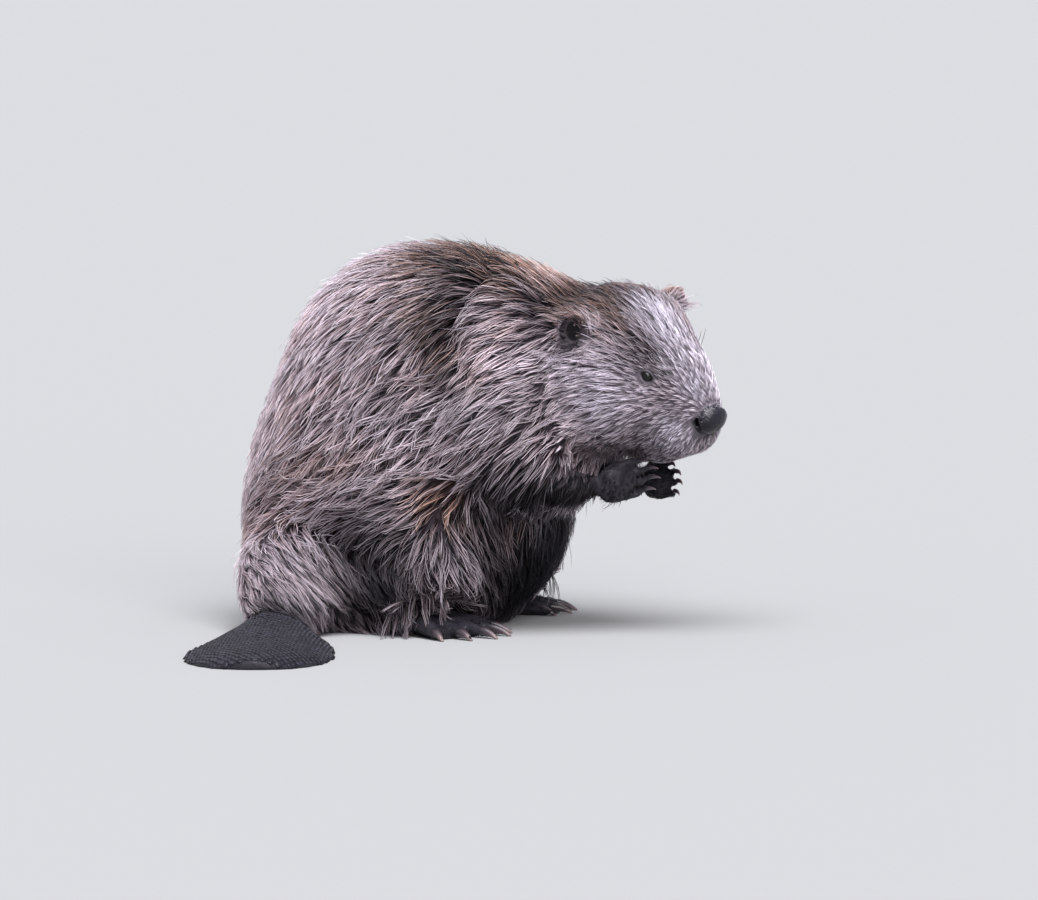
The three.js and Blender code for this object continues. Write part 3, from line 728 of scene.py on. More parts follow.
CORNEA = 0.7 * MM
wet, tree, shader = paint("eye", Roughness=0.3, Specular_IOR_Level=0.15,
                          Coat_Weight=1.0, Coat_Roughness=0.02, Coat_IOR=1.33)
ringed, _, _ = channels(tree, "eye")
IRIS = [(0.0, (0.001, 0.001, 0.002)), (0.26, (0.001, 0.001, 0.002)), (0.32, (0.012, 0.007, 0.006)),
        (0.5, (0.018, 0.011, 0.010)), (0.58, (0.004, 0.003, 0.004)), (1.0, (0.02, 0.017, 0.02))]
iris = ramp(tree, ringed, IRIS)
fibres = ramp(tree, noise(tree, 1500, 2), [(0.3, 0.3), (0.7, 1.0)])
wire(tree, shader, Base_Color=mixed(tree, 0.35, iris, fibres, "MULTIPLY"))
for name, (ball, axis, ahead, _) in eye_frames.items():
    form = bmesh.new()
    bmesh.ops.create_uvsphere(form, u_segments=40, v_segments=28, radius=EYE_RADIUS)
    turn = Matrix(np.stack([ahead, np.cross(axis, ahead), axis], 1).tolist())
    polar = [math.acos(max(-1, min(1, v.co.z / v.co.length))) for v in form.verts]
    for v, angle in zip(form.verts, polar):
        v.co *= 1 + CORNEA / EYE_RADIUS * float(fall(math.degrees(angle), 10, 42))
    bmesh.ops.rotate(form, verts=form.verts, cent=(0, 0, 0), matrix=turn)
    bmesh.ops.translate(form, verts=form.verts, vec=Vector(ball))
    eyeball = shown(name + "_ball", form)
    hold(eyeball.data, "eye", np.array(polar) / math.pi * 2)
    eyeball.data.materials.append(wet)
    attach(eyeball, "root")
    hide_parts(name)

# ---------------------------------------------------------------- claws
# Horny claws, dark with a worn paler tip: four on each hand, in line with the fingers, and five
# broad blunt ones on each hind foot. Each is a bent cone that starts inside the end of its digit.

FINGER_LENGTHS = (24, 29, 29, 24)
FINGER_PITCH = 8.6
HAND_CLAW = (13.5, 2.1, 0.45)  # length, radius at the root, radius at the tip
TOE_LENGTHS = (48, 60, 66, 62, 52)
TOE_ROOT, TOE_PITCH, TOE_SPREAD = 78, 9, 12
FOOT_CLAW = (17, 4.4, 1.2)
horn, tree, shader = paint("claw", Roughness=0.32)
along, _, _ = channels(tree, "claw")
HORN = [(0.0, (0.02, 0.016, 0.022)), (0.6, (0.07, 0.05, 0.06)), (1.0, (0.24, 0.17, 0.17))]
grown = ramp(tree, noise(tree, 900, 2), [(0.35, 0.4), (0.65, 1.0)])
wire(tree, shader, Base_Color=mixed(tree, 0.4, ramp(tree, along, HORN), grown, "MULTIPLY"))


CLAW_SIDES, CLAW_RINGS = 8, 5
CLAW_BEND = 0.34  # of its length, that the tip lies lower


def claw(form, root, way, down, size):
    """Adds a claw that bends towards down, and returns how far along it each new point is."""
    length, wide, tip = (s * MM for s in size)
    way, down = unit(way), unit(down - unit(way) * (down @ unit(way)))
    aside = np.cross(way, down)
    ring = bmesh.ops.create_circle(form, cap_ends=True, segments=CLAW_SIDES, radius=1)["verts"]
    turn = np.stack([aside, -down, way], 1)
    for v in ring:
        v.co = Vector(turn @ (np.array(v.co) * wide) + root)
    placed = [0.0] * CLAW_SIDES
    middle = root
    face = next(f for f in form.faces if set(f.verts) == set(ring))
    for k in range(1, CLAW_RINGS + 1):
        t = k / CLAW_RINGS
        face = bmesh.ops.extrude_discrete_faces(form, faces=[face])["faces"][0]
        after = root + way * length * t + down * length * CLAW_BEND * t**2
        size_now = (wide + (tip - wide) * t**1.3) / (wide + (tip - wide) * (t - 1 / CLAW_RINGS) ** 1.3)
        for v in face.verts:
            v.co = Vector(after + (np.array(v.co) - middle) * size_now)
            v.co.z = max(v.co.z, 0.1 * MM)
            placed.append(t)
        middle = after
    return placed


def claws(name, roots):
    form = bmesh.new()
    placed = []
    for root, way, down, size in roots:
        placed += claw(form, root, way, down, size)
    bmesh.ops.recalc_face_normals(form, faces=form.faces)
    piece = shown(name, form)
    hold(piece.data, "claw", placed)
    piece.data.materials.append(horn)
    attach(piece, "root")


# The ends of the digits, in the hand's or the foot's own frame: the fingers bend inwards from a palm
# of 28 mm, and the toes fan out from the end of the sole.
for name, side in (("hand_left", 1), ("hand_right", -1)):
    wrist, turn = HANDS[name]
    roots = []
    for i, length in enumerate(FINGER_LENGTHS):
        z = (1.5 - i) * FINGER_PITCH
        end = np.array([28 - abs(z) * 0.25 + length * 0.88 - 2.5, -side * (length * 0.32 - 1), z * 0.92])
        way = turn @ np.array([0.92, -side * 0.3, -0.1])
        roots.append((wrist + turn @ end * MM, way, turn @ np.array([-0.1, -side * 0.7, -0.7]), HAND_CLAW))
    claws(name + "_claws", roots)
for name, side in (("hind_foot_left", 1), ("hind_foot_right", -1)):
    heel, turn = FEET[name]
    roots = []
    for i, length in enumerate(TOE_LENGTHS):
        across = (i - 2) * side
        fan = math.radians(across * TOE_SPREAD)
        out = np.array([math.cos(fan), math.sin(fan), 0])
        end = np.array([TOE_ROOT, across * TOE_PITCH, 5.6]) + out * (length - 4)
        roots.append((heel + turn @ end * MM, turn @ (out + [0, 0, 0.05]), np.array([0, 0, -0.5]), FOOT_CLAW))
    claws(name + "_claws", roots)

# ---------------------------------------------------------------- coat
# Guard hairs of a wet beaver: slender locks of hairs that run together towards their tips, dark at
# the root and grizzled above it, over broader wisps of underfur. The dark near the roots is partly
# painted shade deep in the coat. They are combed along the body and grow shorter and finer towards the
# nose.

# The way that the coat lies, as seen level from the right side and a little above: millimetres
# across from the middle of the frame, millimetres above the floor's line, and the heading of the
# tips in degrees, 0 to the right and 90 up. The left side of the animal is combed the same way.
COMBED = {
    "forehead": [(205, 188, 128), (192, 217, 125), (177, 238, 131), (159, 254, 141), (135, 265, 158),
                 (117, 270, 170), (171, 207, 143), (150, 225, 147), (125, 238, 152), (107, 248, 160)],
    "cheek": [(109, 223, 178), (135, 207, 166), (150, 187, 181), (125, 188, 186), (103, 200, 188),
              (169, 179, 192), (184, 162, 215), (199, 148, 240), (171, 150, 225), (150, 158, 214),
              (125, 162, 205), (130, 143, 230), (111, 135, 240), (100, 158, 208)],
    "neck": [(80, 246, 192), (71, 223, 198), (50, 242, 203), (34, 260, 204), (17, 238, 213),
             (80, 183, 202), (63, 196, 206), (40, 200, 212), (21, 215, 216), (84, 150, 218),
             (59, 158, 216), (34, 175, 213)],
    "nape": [(99, 290, 150), (71, 293, 160), (46, 299, 172), (21, 304, 178)],
    "back": [(-8, 312, 186), (-33, 303, 200), (-62, 290, 212), (-91, 267, 226), (-116, 240, 236),
             (-133, 208, 248), (-146, 175, 255), (-160, 142, 260), (-4, 283, 192), (-25, 267, 210),
             (-50, 250, 220), (-75, 225, 228), (-100, 192, 238), (-116, 158, 240), (-25, 229, 223),
             (-50, 208, 227), (-75, 183, 233)],
    "fold": [(-2, 229, 300), (10, 203, 314)],
    "flank": [(-16, 188, 205), (-41, 175, 206), (-62, 158, 222), (-91, 150, 232), (-133, 133, 216),
              (-158, 118, 196), (-108, 125, 205), (-8, 162, 215), (-33, 142, 222), (-58, 125, 217),
              (-91, 108, 198), (-133, 104, 186), (-170, 100, 258)],
    "haunch": [(-6, 117, 190), (-33, 100, 190), (-66, 88, 195), (-108, 77, 198), (-160, 93, 205),
               (-133, 80, 326), (-108, 60, 319), (-87, 38, 316), (-70, 17, 313), (-45, 68, 197),
               (-58, 46, 322), (-41, 25, 292)],
    "knee": [(-23, 83, 262), (-33, 50, 256), (-16, 50, 275), (-4, 38, 292), (-25, 23, 263)],
    "belly": [(5, 88, 285), (19, 67, 290), (34, 48, 285), (9, 40, 300), (59, 75, 262), (77, 50, 262),
              (50, 32, 268)],
    "arm": [(88, 125, 245), (67, 125, 229), (42, 133, 223), (17, 150, 219), (34, 112, 240),
            (59, 104, 250), (84, 107, 256), (98, 118, 262)],
    "tail root": [(-176, 50, 285), (-181, 23, 262), (-165, 60, 330), (-145, 50, 318),
                  (-129, 33, 312), (-112, 17, 312), (-162, 36, 300), (-150, 23, 305),
                  (-133, 15, 308)],
}
REACH = {"forehead": 16, "cheek": 14, "neck": 22, "nape": 24, "back": 30, "fold": 12, "flank": 20,
         "haunch": 16, "knee": 14, "belly": 20, "arm": 16, "tail root": 14}
# Where the view doesn't reach: a place and the way of the tips, in the head's or the trunk's frame.
HIDDEN_STROKES = {
    "head": [((-30, 0, 14), (-1, 0, 0.3)), ((-80, 0, 34), (-1, 0, 0)), ((-8, 10, -30), (-0.3, 0.5, -1)),
             ((-40, 0, -75), (-0.7, 0, -1)), ((-80, 0, -75), (-1, 0, -0.2))],
    "body": [((160, 0, 130), (0, 0, -1)), ((140, 40, 100), (-0.2, 0, -1)), ((130, 0, 60), (-0.3, 0, -1)),
             ((60, 0, 0), (-1, 0, 0)), ((-60, 0, 0), (-1, 0, 0)), ((-140, 0, 120), (0, 0, -1)),
             ((-140, 40, 60), (0, 0, -1)), ((-100, 0, 240), (-1, 0, -0.8))],
}
HIDDEN_REACH = 26

strokes = []
for part, group in COMBED.items():
    for across, up, heading in group:
        spot, out = seen(across, up)
        turn = math.radians(heading)
        way = math.cos(turn) * np.array([1.0, 0, 0]) + math.sin(turn) * UPWARDS
        way = way + SIGHT * (way @ out) / max(-(SIGHT @ out), 0.4)
        strokes.append((spot, way, REACH[part]))
        if part != "tail root":
            twin, twin_way = mirrored(spot, way, "head" if part in ("forehead", "cheek") else "body")
            strokes.append((twin, twin_way, REACH[part]))
for base, group in HIDDEN_STROKES.items():
    for place, way in group:
        at, turn = FRAMES[base]
        spot, heading = turn @ (np.array(place) * MM) + at, turn @ np.array(way, float)
        strokes.append((spot, heading, HIDDEN_REACH))
        if place[1]:
            strokes.append((*mirrored(spot, heading, base), HIDDEN_REACH))
stroke_spots = np.array([s for s, _, _ in strokes])
stroke_ways = unit(np.array([w for _, w, _ in strokes]))
stroke_reach = np.array([r for _, _, r in strokes]) * MM
EAR_REACH = 21 * MM
EAR_FOOT = 17 * MM  # from the middle of an ear inwards: what its hairs run away from


def from_head(spots):
    return np.asarray(spots) @ HEAD_TURN.T + HEAD_AT


ears = []
for name in ("ear_left", "ear_right"):
    middle = middle_of(name)
    inwards = unit(from_head(np.array([-112, 0, 0]) * MM) - middle)
    ears.append((middle, middle + inwards * EAR_FOOT))


def lie(spots, outs):
    """The way that the coat lies at each spot, along the hide. On the ears it runs to their rims."""
    far = ((spots[:, None, :] - stroke_spots[None]) ** 2).sum(2) / (2 * stroke_reach**2)
    amount = np.exp(-np.minimum(far - far.min(1, keepdims=True), 50))
    ways = unit(amount @ stroke_ways)
    for middle, foot in ears:
        near = fall(far_from(spots, middle), 0.75 * EAR_REACH, EAR_REACH)[:, None]
        ways = ways * (1 - near) + unit(spots - foot) * near
    return unit(ways - (ways * outs).sum(1, keepdims=True) * outs)


# An unwrap of the hide's own shape, cut on a plainer copy of it. It places the tufts' colours.
unwrapped = linked("unwrapped", hide.data.copy())
fewer = unwrapped.modifiers.new("fewer", "DECIMATE")
fewer.ratio = 0.2
unwrapped.modifiers.new("thirds", "TRIANGULATE")
settled(unwrapped)
bpy.context.view_layer.objects.active = unwrapped
bpy.ops.object.mode_set(mode="EDIT")
bpy.ops.mesh.select_all(action="SELECT")
bpy.ops.uv.smart_project(angle_limit=math.radians(72), island_margin=0.004)
bpy.ops.object.mode_set(mode="OBJECT")
plain_tree = tree_of(unwrapped.data)
plain_spots = read(unwrapped.data.vertices, "co", 3)
plain_corners = plain_spots[read(unwrapped.data.polygons, "vertices", 3, np.int32)]
flat = read(unwrapped.data.uv_layers[0].data, "uv", 2).reshape(-1, 3, 2)
bpy.data.meshes.remove(unwrapped.data)


def unwrap_places(spots):
    """Where each spot of the hide lies on its unwrap."""
    near, face = nearest_on(plain_tree, spots)
    a, b, c = plain_corners[face].transpose(1, 0, 2)
    ab, ac, ap = b - a, c - a, near - a
    d00, d01, d11 = (ab * ab).sum(1), (ab * ac).sum(1), (ac * ac).sum(1)
    d20, d21 = (ap * ab).sum(1), (ap * ac).sum(1)
    under = np.maximum(d00 * d11 - d01 * d01, 1e-20)
    v = np.clip((d11 * d20 - d01 * d21) / under, 0, 1)
    w = np.clip((d00 * d21 - d01 * d20) / under, 0, 1)
    uv = flat[face]
    return uv[:, 0] * (1 - v - w)[:, None] + uv[:, 1] * v[:, None] + uv[:, 2] * w[:, None]


# What the coat is like on each region, in millimetres: length of the hairs, width of one, spacing
# of the locks, and how many hairs a lock has. The nose and the paddle are bare.
COAT = {
    "body": (38, 0.98, 6.3, 6.6), "tail_root": (32, 0.62, 4.9, 8), "forearms": (24, 0.7, 5.0, 8),
    "face": (26, 0.52, 3.5, 8), "jaw": (24, 0.5, 3.4, 8), "nose": (3.5, 0.3, 1.7, 2),
    "ears": (9, 0.4, 1.8, 7), "hands": (6.5, 0.42, 2.8, 5), "feet": (8, 0.5, 4.6, 4),
    "paddle": (2, 0.4, 60, 1),
}
coat_of = np.array([COAT[r] for r in REGIONS], float)
coat_depths = np.array([COAT_DEPTH[r] for r in REGIONS], float)


def on(faces, *names):
    """How much these faces belong to these regions."""
    return face_masks[faces][:, [REGIONS.index(name) for name in names]].sum(1)


# Along the head from the tip of the nose, in millimetres: where the hairs start to shrink and stop,
# and the same for the front of the muzzle, where they do so once more.
TO_NOSE, FRONT = (-118, -30), (-62, -22)
# How much of the length, width, spacing and depth goes by the nose, on its front and on the lips, and
# the share of it that is left on the eyelids.
SHRINKS = ((0.42, 0.26, 0.5, 0.4), (0.2, 0.15, 0, 0.75), (0.15, 0.15, 0, 0.6), (0.76, 0, 0.8, 0.16))


def coat_at(faces):
    """Length, width, spacing, depth and hairs per lock of the coat on these faces."""
    length, width, spacing, count = (face_masks[faces] @ coat_of).T
    deep = face_masks[faces] @ coat_depths
    to_nose, front = (on(faces, "face", "jaw") * rise(face_forwards[faces], *run) for run in (TO_NOSE, FRONT))
    sizes = []
    for size, (by_nose, in_front, on_lips, at_lids) in zip((length, width, spacing, deep), SHRINKS):
        size = size * (1 - by_nose * to_nose - in_front * front) * (1 - on_lips * face_lips[faces])
        sizes.append(size * (at_lids + (1 - at_lids) * face_by_eyes[faces]) * MM)
    return *sizes, count


TRIES = 5  # for each lock that there is room for
CLOSEST = 0.82  # two locks may be, times their spacing
CELL = 9 * MM  # of the grid in which a lock looks for its neighbours
SEAT_HEIGHT = 5 * MM  # below it the hide that faces down is sat on, and grows nothing
NO_ROOTS = (6 * MM, 12 * MM)  # beside an eye's axis, and from its middle
BALD_FINGERS = 0.4  # of the places for a lock on the hands and feet


def lock_roots():
    """Spots scattered evenly over the hide, closer together where the locks are finer."""
    tri = skin[corners]
    area = np.linalg.norm(np.cross(tri[:, 1] - tri[:, 0], tri[:, 2] - tri[:, 0]), axis=1) / 2
    spacing = coat_at(np.arange(len(corners)))[2]
    wanted = area / spacing**2
    tries = rng.choice(len(corners), int(wanted.sum() * TRIES), p=wanted / wanted.sum())
    u, v = rng.random(len(tries)), rng.random(len(tries))
    over = u + v > 1
    u[over], v[over] = 1 - u[over], 1 - v[over]
    t = tri[tries]
    spots = t[:, 0] + (t[:, 1] - t[:, 0]) * u[:, None] + (t[:, 2] - t[:, 0]) * v[:, None]
    apart = spacing[tries] * CLOSEST
    taken, kept = {}, []
    keys = np.floor(spots / CELL).astype(int)
    for i, (x, y, z) in enumerate(keys):
        near = [j for dx in (-1, 0, 1) for dy in (-1, 0, 1) for dz in (-1, 0, 1)
                for j in taken.get((x + dx, y + dy, z + dz), ())]
        if near and (((spots[near] - spots[i]) ** 2).sum(1) < apart[i] ** 2).any():
            continue
        taken.setdefault((x, y, z), []).append(i)
        kept.append(i)
    spots, faces = spots[kept], tries[kept]
    on_nose = in_head(spots) / MM
    bald = (on(faces, "nose") > 0.7) & ((on_nose[:, 2] < -5) | (on_nose[:, 0] > -5))
    bald |= (face_lips[faces] > 0.8) | (on(faces, "paddle") > 0.4) | (face_hollows[faces] > 0.35)
    bald |= (on(faces, "hands", "feet") > 0.5) & (rng.random(len(faces)) < BALD_FINGERS)
    bald |= (face_outs[faces][:, 2] < -0.8) & (spots[:, 2] < SEAT_HEIGHT)
    for ball, axis, _, _ in eye_frames.values():
        beside = np.linalg.norm(np.cross(spots - ball, axis), axis=1)
        bald |= (beside < NO_ROOTS[0]) & (far_from(spots, ball) < NO_ROOTS[1])
    return spots[~bald], faces[~bald]


STEPS = 4  # of a lock along the hide
WANDER = math.radians(5)  # about how far a lock turns aside at each
KEEPS_ON = 1.1  # how much a lock keeps its own heading, against the coat's way of lying
LEAVES_AT = 0.35  # the cosine of the hide's turn past which a lock goes straight on
HIDDEN_AT = 0.2  # and past which it ends


def trails(roots, faces, reach):
    """Leads each lock along the hide from its root.

    Gives the places, outward ways and depths on the way, the share of its length before the hide
    turns away, and whether it leaves the hide there and goes straight on."""
    trail, trail_outs, trail_deep = [roots], [face_outs[faces]], [coat_at(faces)[3]]
    heading = lie(roots, face_outs[faces])
    stray = rng.normal(0, WANDER, len(roots))
    free = np.zeros(len(roots), bool)
    for step in range(STEPS):
        outs = trail_outs[-1]
        way = unit(lie(trail[-1], outs) + KEEPS_ON * heading)
        aside = np.cross(outs, way)
        way = unit(way * np.cos(stray)[:, None] + aside * np.sin(stray)[:, None])
        way[free] = heading[free]
        ahead = trail[-1] + way * (reach / STEPS)[:, None]
        spots, faces = nearest_on(hide_tree, ahead)
        over_edge = (face_outs[faces] * trail_outs[0]).sum(1) < LEAVES_AT
        free |= over_edge & (((ahead - spots) * face_outs[faces]).sum(1) > 0)
        heading = way
        trail.append(np.where(free[:, None], ahead, spots))
        trail_outs.append(np.where(free[:, None], outs, face_outs[faces]))
        trail_deep.append(np.where(free, trail_deep[-1], coat_at(faces)[3]))
    trail_deep = np.array(trail_deep)
    trail_outs = np.array(trail_outs)
    facing = (trail_outs[1:] * trail_outs[:1]).sum(2)
    straight = np.clip(np.minimum.accumulate(facing > HIDDEN_AT, 0).sum(0) / STEPS, 0.6, 1)
    trail_deep = np.minimum.accumulate(trail_deep * 0.5 + trail_deep[0] * 0.5, 0)
    return np.array(trail), trail_outs, trail_deep, straight, free


TAPER = [0, 0.3, 0.7, 1.0], [0.6, 1.0, 0.85, 0.35]  # places along a hair, and its width there


def strands(lines, tops, widths, thin=0.7):
    """Three-sided tapering hairs along lines of points: hair, point, xyz."""
    runs = unit(np.gradient(lines, axis=1))
    flanks = unit(np.cross(tops, runs))
    tops = np.cross(runs, flanks)
    rings = lines.shape[1] - 1
    taper = np.interp(np.arange(rings) / rings, *TAPER)
    made = []
    for k in range(rings):
        r = (widths * taper[k] / 2)[:, None]
        for turn in np.radians([90, 210, 330]):
            out = flanks[:, k] * math.cos(turn) + tops[:, k] * math.sin(turn) * thin
            made.append(lines[:, k] + out * r)
    made.append(lines[:, rings])
    made = np.array(made).transpose(1, 0, 2)
    made[:, :, 2] = np.maximum(made[:, :, 2], 0)
    return made


PATCH = 0.003  # of the unwrap, across the place of each hair
MOST = 198_000  # triangles in one piece


def coat_pieces(name, points, uv, tone, marks_and_light, paling, finish):
    """Joins hairs into meshes that each keep below the most triangles.

    Paling under 1 makes a hair reach the colour of its tip sooner."""
    rings = (points.shape[1] - 1) // 3
    quads, thirds = [], [(0, 2, 1)]
    for k in range(rings - 1):
        for s in range(3):
            n = (s + 1) % 3
            quads.append((k * 3 + s, k * 3 + n, k * 3 + 3 + n, k * 3 + 3 + s))
    last = rings * 3
    for s in range(3):
        thirds.append((last - 3 + s, last - 3 + (s + 1) % 3, last))
    triangles = 2 * len(quads) + len(thirds)
    steps = np.append(np.repeat(np.arange(rings), 3) / rings, 1.0)
    patch_at = np.stack([np.append(np.tile(np.arange(3) / 2, rings), 0.5) - 0.5, steps - 0.5], 1) * PATCH
    order = np.argsort(points[:, 0, 0])
    groups = np.array_split(order, -(-len(points) * triangles // MOST))
    for number, chosen in enumerate(groups):
        n = len(chosen)
        mesh = bpy.data.meshes.new(name)
        mesh.vertices.add(n * (last + 1))
        mesh.vertices.foreach_set("co", points[chosen].astype(np.float32).ravel())
        first = np.arange(n)[:, None] * (last + 1)
        quad_loops = (first[:, :, None] + np.array(quads)[None]).reshape(-1)
        third_loops = (first[:, :, None] + np.array(thirds)[None]).reshape(-1)
        loops = np.concatenate([quad_loops, third_loops])
        mesh.loops.add(len(loops))
        mesh.loops.foreach_set("vertex_index", loops.astype(np.int32))
        starts = np.concatenate([np.arange(0, len(quad_loops), 4),
                                 len(quad_loops) + np.arange(0, len(third_loops), 3)])
        mesh.polygons.add(len(starts))
        mesh.polygons.foreach_set("loop_start", starts.astype(np.int32))
        mesh.polygons.foreach_set("use_smooth", np.ones(len(starts), bool))
        mesh.update(calc_edges=True)
        # Each hair has a small patch of the unwrap at its root, which takes its baked colours.
        places = (uv[chosen][:, None, :] + patch_at[None]).reshape(-1, 2)[loops]
        mesh.uv_layers.new(name="OFBake").data.foreach_set("uv", places.astype(np.float32).ravel())
        paled = steps[None] ** paling[chosen][:, None]
        hold(mesh, "hair", paled.ravel(), np.repeat(tone[chosen], last + 1))
        hold(mesh, "marks_and_light", *np.repeat(marks_and_light[chosen], last + 1, 0).T)
        piece = linked(f"{name}_{number + 1}", mesh)
        mesh.materials.append(finish)
        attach(piece, "root")


hair_finish, tree, shader = paint("coat", Roughness=0.38, Specular_IOR_Level=0.24)
along, tone, _ = channels(tree, "hair")
lit = add(tree, "VectorMath", Vector=coat_colour(tree, along))
lit.operation = "SCALE"
wire(tree, lit, Scale=tone)
wire(tree, shader, Base_Color=lit.outputs[0])


OFF_BALL = 7.2 * MM
IN_FRONT = (5.1 * MM, 16 * MM)  # beside the eye's axis, and before the ball


def clear_of_eyes(points):
    """Which hairs keep off the lids and out of the eye's sight."""
    clear = np.ones(len(points), bool)
    for ball, axis, _, _ in eye_frames.values():
        off = points - ball
        far = np.linalg.norm(off, axis=2)
        beside = np.linalg.norm(np.cross(off, axis), axis=2)
        over = (far < OFF_BALL) | ((beside < IN_FRONT[0]) & (far < IN_FRONT[1]))
        clear &= ~over.any(1)
    return clear


def near_places(spots, places):
    """0 away from these places of the view and 1 at them, on both sides of the body."""
    near = np.zeros(len(spots))
    for across, up, reach in places:
        spot, _ = seen(across, up)
        for place in (spot, mirrored(spot, spot, "body")[0]):
            near = np.maximum(near, np.exp(-((spots - place) ** 2).sum(1) / (2 * (reach * MM) ** 2)))
    return near


WAVY = [(-66, 160, 34), (-110, 130, 30), (-20, 175, 24), (-40, 60, 26)]  # where the locks curl most
SLEEK = [(-78, 48, 26), (-140, 52, 36), (-100, 20, 26)]  # where the coat lies long and flat
SLEEK_TONE = 0.9
DARK_ON_HEAD = 0.38  # of its locks
DRIFTS = 8  # waves of tone and redness that run over the body
DRIFT_LENGTH = (8 * MM, 24 * MM)
roots, faces = lock_roots()
length, width, spacing, _, count = coat_at(faces)
wavy, sleek = near_places(roots, WAVY), near_places(roots, SLEEK)
length = length * rng.uniform(0.82, 1.12, len(roots)) * (1 + 0.25 * sleek)
trail, trail_outs, trail_deep, straight, free = trails(roots, faces, length)
on_head = on(faces, "face", "jaw")
lock_tone = rng.uniform(0.78, 1.1, len(roots))
lock_tone *= 1 - 0.45 * on_head * (rng.random(len(roots)) < DARK_ON_HEAD)
lock_height = rng.uniform(0.8, 1.0, len(roots))
lock_wave = rng.uniform(0, 2 * np.pi, len(roots))
curl = (0.045 + 0.13 * wavy) * (1 - 0.75 * sleek)
lock_curl = curl * rng.uniform(0.4, 1.6, len(roots)) * length
lock_marks_and_light = marks_and_light_at(roots)
drift = np.zeros((2, len(roots)))  # slow changes of tone and of redness over the body
for _ in range(DRIFTS):
    wave_way = unit(rng.normal(size=3)) / rng.uniform(*DRIFT_LENGTH)
    drift += 0.5 * np.sin(roots @ wave_way + rng.uniform(0, 2 * np.pi, 2)[:, None])
lock_tone = lock_tone * (1 - 0.6 * sleek) + SLEEK_TONE * 0.6 * sleek
# Where the dark patches lie the hairs are darkened too, partly as painted shade on the belly and underside.
lock_tone *= (1 + 0.12 * drift[0] * (1 - on_head)) * (0.93 + 0.13 * on_head) * (1 - 0.4 * lock_marks_and_light[:, 2])
streaked = np.clip(np.maximum(rise(lock_marks_and_light[:, 0], 0.2, 0.5), 0.8 * on_head), 0, 1)
lock_marks_and_light[:, 0] = np.clip(lock_marks_and_light[:, 0] + 0.13 * drift[1] * (1 - 0.6 * on_head), 0, 1)
darker = on(faces, "hands", "feet") + 0.8 * face_ear_rims[faces] + 0.6 * face_lips[faces]
lock_marks_and_light[:, 2] = np.clip(lock_marks_and_light[:, 2] + darker, 0, 1)


GUARD_SHARE = 0.34  # of the hairs
GUARD_LENGTH, WOOL_LENGTH = 1.12, 0.82  # times the lock's
GUARD_HEIGHT, WOOL_HEIGHT = (0.92, 1.12), (0.5, 0.86)  # times the coat's depth
# The guard hairs are brighter and pale sooner along their length, and the lower hairs darker, partly as
# painted light and shade: the lit top of the coat and the shade deep in it.
GUARD_TONE, WOOL_TONE = 1.12, 0.7
GUARD_PALING, WOOL_PALING = 0.55, 1.2
GATHER = (0.15, 0.8)  # how far the hairs of a lock have run together at their tips
WAVY_GATHER = 0.55
WAVES = 4.6  # radians of its curl that a hair goes through
ROOT_DEPTH = 0.8 * MM  # of a hair in the hide
OFF_FLOOR = 0.5 * MM


